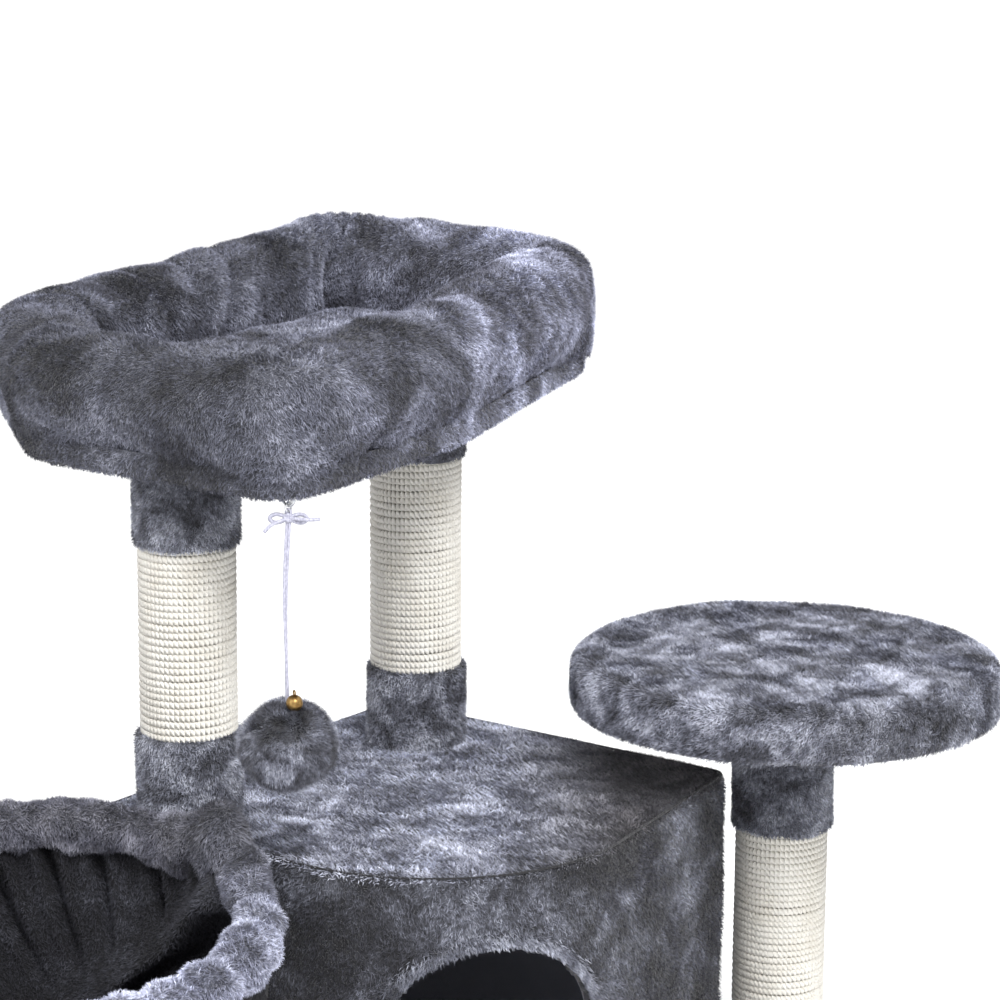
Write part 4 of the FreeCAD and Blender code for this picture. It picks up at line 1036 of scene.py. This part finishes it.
def makeBolster():
    low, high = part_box("bed_bolster")
    skin = copyNode("bed_bolster_plush", "bed_bolster")
    applyModifier(skin, "REMESH", mode="VOXEL", voxel_size=bed["voxel"], use_smooth_shade=True)
    pushOut(skin, np.full(len(skin.data.vertices), -bed["shrink"]))
    points = getPoints(skin)
    u, v = bedShare(points)
    frontLeft, frontRight, backLeft, backRight = bed["heights"]
    crest = (frontLeft * (1 - u) + frontRight * u) * (1 - v) + (backLeft * (1 - u) + backRight * u) * v
    points[:, 2] = low.z + (points[:, 2] - low.z) * crest / (high.z - low.z)
    setPoints(skin, points)
    inflate(skin, bed)
    applyModifier(skin, "SUBSURF", levels=1, render_levels=1)
    points = getPoints(skin)
    points[:, 2] = np.maximum(points[:, 2], low.z + 0.0002)
    setPoints(skin, points)
    boardLow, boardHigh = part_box("bed_board")
    middle = np.array([(boardLow.x + boardHigh.x) / 2 - 0.01, (boardLow.y + boardHigh.y) / 2, 0])
    normals = getNormals(skin)
    outward = points - middle
    outward[:, 2] = 0
    outward /= np.maximum(np.linalg.norm(outward, axis=1), 1e-6)[:, None]
    facing = (normals * outward).sum(1)
    inner = np.clip(-facing * 2.5 + 0.3, 0, 1)
    upper = np.clip((points[:, 2] - low.z) / (high.z - low.z), 0, 1)
    around = np.arctan2(points[:, 1] - middle[1], points[:, 0] - middle[0])
    amount = smoothNoise(points, 0.10, 31) * 0.0022
    amount += 0.003 * np.clip(facing, 0, 1) * np.exp(-((points[:, 2] - low.z - 0.035) / 0.03) ** 2)
    # Gathers run down the inside, strongest along the left side and in the corners
    run = around * 11 + 0.8 * smoothNoise(points, 0.13, 33) + 2.2 * upper
    leftSide = np.exp(-((np.abs(around) - math.pi) / 0.95) ** 4)
    lobes = np.abs(np.sin(run)) ** 0.55 - 0.75
    amount += 0.0085 * lobes * np.clip(inner + 0.25, 0, 1) * leftSide * (0.35 + 0.65 * upper)
    amount += 0.0018 * np.sin(run * 1.3 + 2) * inner
    corners = {"backLeft": (boardLow.x + 0.01, boardHigh.y, 0.018), "backRight": (boardHigh.x - 0.128, boardHigh.y, 0.012),
               "frontRight": (boardHigh.x, boardLow.y, 0.008), "frontLeft": (boardLow.x + 0.05, boardLow.y + 0.05, 0.009)}
    for x, y, deep in corners.values():
        spoke = math.atan2(y - middle[1], x - middle[0])
        gap = np.angle(np.exp(1j * (around - spoke)))
        reach = np.hypot(points[:, 0] - middle[0], points[:, 1] - middle[1])
        offset = gap * reach
        amount -= deep * np.exp(-(offset / 0.0045) ** 2) * inner
        amount += 0.0016 * np.sin(offset / 0.0085 * 2 * math.pi) * np.exp(-(offset / 0.045) ** 2) * inner
        amount += 0.0012 * np.sin(offset / 0.011 * 2 * math.pi + 1) * np.exp(-(offset / 0.05) ** 2) * upper ** 2
    pushOut(skin, amount)
    points = getPoints(skin)
    points[:, 2] = np.maximum(points[:, 2], low.z + 0.0002)
    # The outer side hangs a little over the band below it, down to the seam
    lowDown = np.clip(1 - (points[:, 2] - low.z) / 0.03, 0, 1)
    points[:, 2] -= bed["overhang"] * np.clip(facing * 2, 0, 1) * lowDown
    setPoints(skin, points)
    hidden = (points[:, 2] < low.z + 0.003) & (getNormals(skin)[:, 2] < -0.6)
    inside = (facing < 0.0) & ~hidden
    outside = (facing >= 0.0) & ~hidden
    plan = {**shortPile, "perSquareMetre": 780000.0}
    outerPile = growPile(skin, "bed_bolster_pile_outside", outside.astype(float), plan)
    innerPile = growPile(skin, "bed_bolster_pile_inside", inside.astype(float), plan)
    smoothShade(skin)
    finishPiece(skin, bedPlush, "tree", ["bed_bolster"])
    for pile in (outerPile, innerPile):
        finishPiece(pile, bedPlush, "tree")


def makeBedPad():
    low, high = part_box("bed_pad")
    skin = copyNode("bed_pad_plush", "bed_pad")
    applyModifier(skin, "REMESH", mode="VOXEL", voxel_size=bed["padVoxel"], use_smooth_shade=True)
    pushOut(skin, np.full(len(skin.data.vertices), -0.002))
    inflate(skin, {**bed, "cap": 0.005})
    applyModifier(skin, "SUBSURF", levels=1, render_levels=1)
    points = getPoints(skin)
    # Two lines of stitching pull the pad down, and it sags a little in the middle
    middle = (low + high) / 2
    top = np.clip((points[:, 2] - middle.z) / (high.z - middle.z), 0, 1)
    away = np.hypot((points[:, 0] - middle.x) / (high.x - low.x), (points[:, 1] - middle.y) / (high.y - low.y)) * 2
    drop = 0.007 + 0.006 * np.clip(1 - away, 0, 1) + 0.003 * smoothNoise(points, 0.09, 61)
    points[:, 2] -= drop * top
    setPoints(skin, points)
    share = (getNormals(skin)[:, 2] > 0.2).astype(float)
    pile = growPile(skin, "bed_pad_pile", share, {**shortPile, "perSquareMetre": 700000.0})
    smoothShade(skin)
    finishPiece(skin, bedPlush, "tree", ["bed_pad"])
    finishPiece(pile, bedPlush, "tree")


def makeBedBand():
    # Plush stretched under the bed's board and up round its edge
    low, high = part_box("bed_cover")
    top = high.z + bed["bandUp"]
    skin = coverBlock("bed_band_plush", "bed_cover", low.z + 0.0002, top, bed["bandVoxel"])
    deleteFaces(skin, lambda centre, normal: normal.z > 0.7 and centre.z > top - 0.006)
    points = getPoints(skin)
    pushOut(skin, smoothNoise(points, 0.05, 71) * 0.0004 - 0.0001)
    pile = growPile(skin, "bed_band_pile", np.ones(len(points)), {**shortPile, "perSquareMetre": 430000.0})
    applyModifier(skin, "SOLIDIFY", thickness=bed["bandSkin"], offset=-1)
    smoothShade(skin)
    finishPiece(skin, bedPlush, "tree", ["bed_cover"])
    finishPiece(pile, bedPlush, "tree")


makeBolster()
makeBedPad()
makeBedBand()
print("bed made")

# ---- basket
basket = {"flapAt": 73, "flapWide": 13, "raisedAt": 122, "raisedWide": 32, "segments": 320, "rimSegments": (260, 30), "rim": 0.0165, "depth": 0.152, "skin": 0.003, "tilt": 5.2,
          "roll": 3.1, "hoop": 0.148}


def basketPlace():
    # The hoop's middle and turn, from the middle of its rim
    low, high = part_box("basket_rim")
    middle = (low + high) / 2
    turn = (Matrix.Rotation(math.radians(basket["roll"]), 4, "Y")
            @ Matrix.Rotation(math.radians(basket["tilt"]), 4, "X"))
    return Matrix.Translation(middle) @ turn


def flapAndRaise(degrees):
    # The rim stands up as a bunched flap at one place, and rides high along the back
    flap = np.exp(-((degrees - basket["flapAt"]) / basket["flapWide"]) ** 2)
    raised = np.exp(-((degrees - basket["raisedAt"]) / basket["raisedWide"]) ** 4)
    return flap, 0.018 * flap + 0.009 * raised


def makeRim():
    place = basketPlace()
    clearSelection()
    bpy.ops.mesh.primitive_torus_add(major_segments=basket["rimSegments"][0], minor_segments=basket["rimSegments"][1],
                                     major_radius=basket["hoop"], minor_radius=basket["rim"] - 0.001)
    skin = bpy.context.object
    skin.name = "basket_rim_plush"
    points = getPoints(skin)
    around = np.arctan2(points[:, 1], points[:, 0])
    ring = np.stack([np.cos(around), np.sin(around), np.zeros(len(around))], 1) * basket["hoop"]
    section = points - ring
    # Cloth gathered on the hoop: uneven pinches with puffs between them
    pinch = np.abs(np.sin(around * 9 + 1.2 * np.sin(around * 2 + 1) + 0.8 * np.sin(around * 5))) ** 0.6
    puff = 0.80 + 0.28 * pinch + 0.05 * np.sin(around * 31 + points[:, 2] * 120)
    # Drawn in hard at one place beside the post, with a bunched flap standing up behind it
    degrees = np.degrees(around)
    puff *= 1 - 0.45 * np.exp(-np.abs(degrees - 48) / 4.5) + 0.16 * np.exp(-((degrees - 30) / 9) ** 2)
    flap, lift = flapAndRaise(degrees)
    points = ring + section * puff[:, None]
    points[:, 2] = points[:, 2] * (1 + flap) + lift
    points += section / basket["rim"] * (smoothNoise(points, 0.035, 81) * 0.0022)[:, None]
    setPoints(skin, points)
    skin.matrix_world = place
    applyPlace(skin)
    points = getPoints(skin)
    plateLow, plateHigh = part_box("basket_hoop")
    screwLow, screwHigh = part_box("basket_screws")
    face = screwLow.y - 0.0006
    behind = (points[:, 0] > screwLow.x - 0.006) & (points[:, 0] < screwHigh.x + 0.006)
    points[:, 1] = np.where(behind, np.minimum(points[:, 1], face), points[:, 1])
    denLow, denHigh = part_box("den_wall_cover")
    points[:, 1] = np.minimum(points[:, 1], denLow.y - 0.0006)
    setPoints(skin, points)
    pile = growPile(skin, "basket_rim_pile", np.ones(len(points)),
                    {**shortPile, "perSquareMetre": 1100000.0, "length": 0.0048, "swirl": 3.0})
    smoothShade(skin)
    finishPiece(skin, rimPlush, "tree", ["basket_rim"])
    finishPiece(pile, rimPlush, "tree")


def bowlSurface(rows, segments):
    # Half section from the rim down to the middle of the floor, by turning angle
    rings = []
    for row in range(rows + 1):
        turn = row / rows * math.pi / 2
        radius = 0.1435 * math.cos(turn) ** 0.62 if row < rows else 0.004
        height = -0.012 - basket["depth"] * math.sin(turn) ** 1.15
        rings.append((max(radius, 0.004), height))
    return ringStack("basket_bowl_fleece", Vector(), rings, segments)


def makeBowl():
    skin = bowlSurface(46, basket["segments"])
    points = getPoints(skin)
    mergePoints(skin, np.hypot(points[:, 0], points[:, 1]) < 0.0045)
    editAll(skin)
    bpy.ops.mesh.normals_make_consistent(inside=True)
    leaveEdit()
    points = getPoints(skin)
    around = np.arctan2(points[:, 1], points[:, 0])
    reach = np.hypot(points[:, 0], points[:, 1])
    down = np.clip(-(points[:, 2] + 0.012) / basket["depth"], 0, 1)
    turn = around % (2 * math.pi)
    along = turn * basket["hoop"]
    inwards = 0.0035 * smoothNoise(points, 0.11, 83)
    # Two long folds run down from the drawn-in place across the back to the floor
    foldStart = math.radians(58) * basket["hoop"]
    offset = (along - foldStart) * 0.556 + (points[:, 2] + 0.012) * 0.831
    length = (along - foldStart) * 0.831 - (points[:, 2] + 0.012) * 0.556
    inFold = np.clip(length / 0.02, 0, 1) * np.clip((0.22 - length) / 0.06, 0, 1)
    for shift, high in ((0.0, 0.022), (0.036, 0.016)):
        side = offset + shift
        width = np.where(side > 0, 0.016, 0.0045)
        inwards += inFold * high * np.exp(-(side / width) ** 2)
        inwards -= inFold * high * 0.5 * np.exp(-((side + 0.013) / 0.008) ** 2)
    # Gathers under the rim: narrow creases that slant and die away, with soft puffs between them
    rng = np.random.default_rng(17)
    above = np.clip((offset - 0.012) / 0.015, 0, 1)
    outside = np.where(inFold > 0, above, 1.0)
    fadeDown = np.clip(1 - down / 0.62, 0, 1) ** 0.7
    place = 4.0
    while place < 360:
        slant = (points[:, 2] + 0.012) * rng.uniform(0.25, 0.5)
        gap = along - math.radians(place) * basket["hoop"] - slant
        deep = rng.uniform(0.7, 1.2)
        inwards -= 0.0140 * deep * np.exp(-(gap / 0.0042) ** 2) * fadeDown * outside
        inwards += 0.0065 * deep * np.exp(-((np.abs(gap) - 0.010) / 0.006) ** 2) * fadeDown * outside
        place += rng.uniform(13, 22)
    inwards *= np.clip(reach / 0.05, 0, 1)
    points[:, 0] -= np.cos(around) * inwards
    points[:, 1] -= np.sin(around) * inwards
    setPoints(skin, points)
    points[:, 2] += (flapAndRaise(np.degrees(around))[1] + 0.004) * np.clip(1 - down / 0.3, 0, 1)
    setPoints(skin, points)
    skin.matrix_world = basketPlace()
    applyPlace(skin)
    points = getPoints(skin)
    inner = growPile(skin, "basket_bowl_pile", np.ones(len(points)),
                     {**shortPile, "perSquareMetre": 640000.0, "length": 0.0036, "swirl": 1.8})
    area = sum(face.area for face in skin.data.polygons)
    applyModifier(skin, "SOLIDIFY", thickness=basket["skin"], offset=-1)
    smoothShade(skin)
    finishPiece(skin, bowlFleece, "tree", ["basket_bowl"])
    finishPiece(inner, bowlFleece, "tree")
    print("bowl area", round(area, 4))
    return skin, area


makeRim()
basketSheet, basketArea = makeBowl()
print("basket made")

# ---- ball
toyBall = {"wide": 0.0292, "high": 0.0262, "lump": 0.0008}


def makeBall():
    low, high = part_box("toy_ball_cover")
    centre = (low + high) / 2
    clearSelection()
    bpy.ops.mesh.primitive_ico_sphere_add(subdivisions=5, radius=1.0, location=centre)
    skin = bpy.context.object
    skin.name = "toy_ball_plush"
    skin.scale = (toyBall["wide"], toyBall["wide"], toyBall["high"])
    applyPlace(skin)
    points = getPoints(skin)
    # Drawn in at the top, where the cord is sewn through
    away = np.hypot(points[:, 0] - centre.x, points[:, 1] - centre.y)
    dent = 0.0016 * np.exp(-(away / 0.008) ** 2) * (points[:, 2] > centre.z)
    pushOut(skin, smoothNoise(points, 0.03, 91) * toyBall["lump"] - dent)
    points = getPoints(skin)
    pile = growPile(skin, "toy_ball_pile", np.ones(len(points)),
                    {**shortPile, "perSquareMetre": 3400000.0, "length": 0.0072, "width": 0.0008, "lean": 0.7,
                     "swirlScale": 60.0, "untidy": 0.5})
    smoothShade(skin)
    finishPiece(skin, ballPlush, "toy", ["toy_ball_cover"])
    finishPiece(pile, ballPlush, "toy")
    return skin, pile


ballSkin, ballPile = makeBall()
print("ball made")

# ---- finishes of the CAD nodes that show as they are
nodeFinish = {
    "base_board": particleBoard, "base_lining": undersideFelt, "base_bolts": zincSteel,
    "den_floor_board": denLining, "den_top_board": particleBoard, "den_left_panel": fibreBoard,
    "den_back_panel": fibreBoard, "den_curved_wall": fibreBoard, "den_lining": denLining,
    "den_screws": zincSteel, "den_bolts": zincSteel, "bed_board": particleBoard, "bed_bolts": zincSteel,
    "platform_board": particleBoard, "platform_foam": foamFilling, "platform_underside": undersideFelt,
    "platform_bolts": zincSteel, "basket_hoop": blackWire, "basket_screws": zincSteel,
    "toy_staple": zincSteel, "toy_loop": zincSteel, "toy_ball_filling": foamFilling,
    "toy_bell": brassBell, "toy_bell_pellet": zincSteel,
}
for post in ("front_post", "rear_post", "side_post"):
    nodeFinish.update({post + "_tube": paperTube, post + "_plugs": plugWood, post + "_nuts": zincSteel})


def finishNodes():
    for name, node in cadNodes.items():
        material = nodeFinish.get(name)
        if material is None:
            continue
        if not node.material_slots:
            node.data.materials.append(material)
        for slotPlace in node.material_slots:
            slotPlace.material = material


finishNodes()


# ---- floor and light
def makeStage():
    clearSelection()
    bpy.ops.mesh.primitive_plane_add(size=12, location=(0, 0, -0.0005))
    floor = bpy.context.object
    floor.name = "floor"
    material, tree, shader, where = startMaterial("floorPaper", roughness=0.9)
    shader.inputs["Base Color"].default_value = (0.96, 0.96, 0.96, 1)
    floor.data.materials.append(material)
    world = bpy.context.scene.world or bpy.data.worlds.new("studio")
    bpy.context.scene.world = world
    world.use_nodes = True
    sky = world.node_tree.nodes["Background"]
    sky.inputs["Color"].default_value = (1, 1, 1, 1)
    sky.inputs["Strength"].default_value = 1.12
    bpy.context.scene.view_settings.view_transform = "Standard"


studioLights = {
    "key": ((1.5, -1.1, 2.4), 1.0, 58.0),
    "fill": ((-0.6, -2.6, 1.8), 2.0, 22.0),
    "back": ((-0.6, 2.2, 2.2), 2.0, 16.0),
}


def makeLights():
    for name, (place, size, power) in studioLights.items():
        bpy.ops.object.light_add(type="AREA", location=place)
        light = bpy.context.object
        light.name = name
        light.data.size = size
        light.data.energy = power
        aim = Vector((0, 0, 0.4)) - Vector(place)
        light.rotation_euler = aim.to_track_quat("-Z", "Y").to_euler()


makeStage()
makeLights()
print("stage and lights made")

bpy.context.view_layer.update()
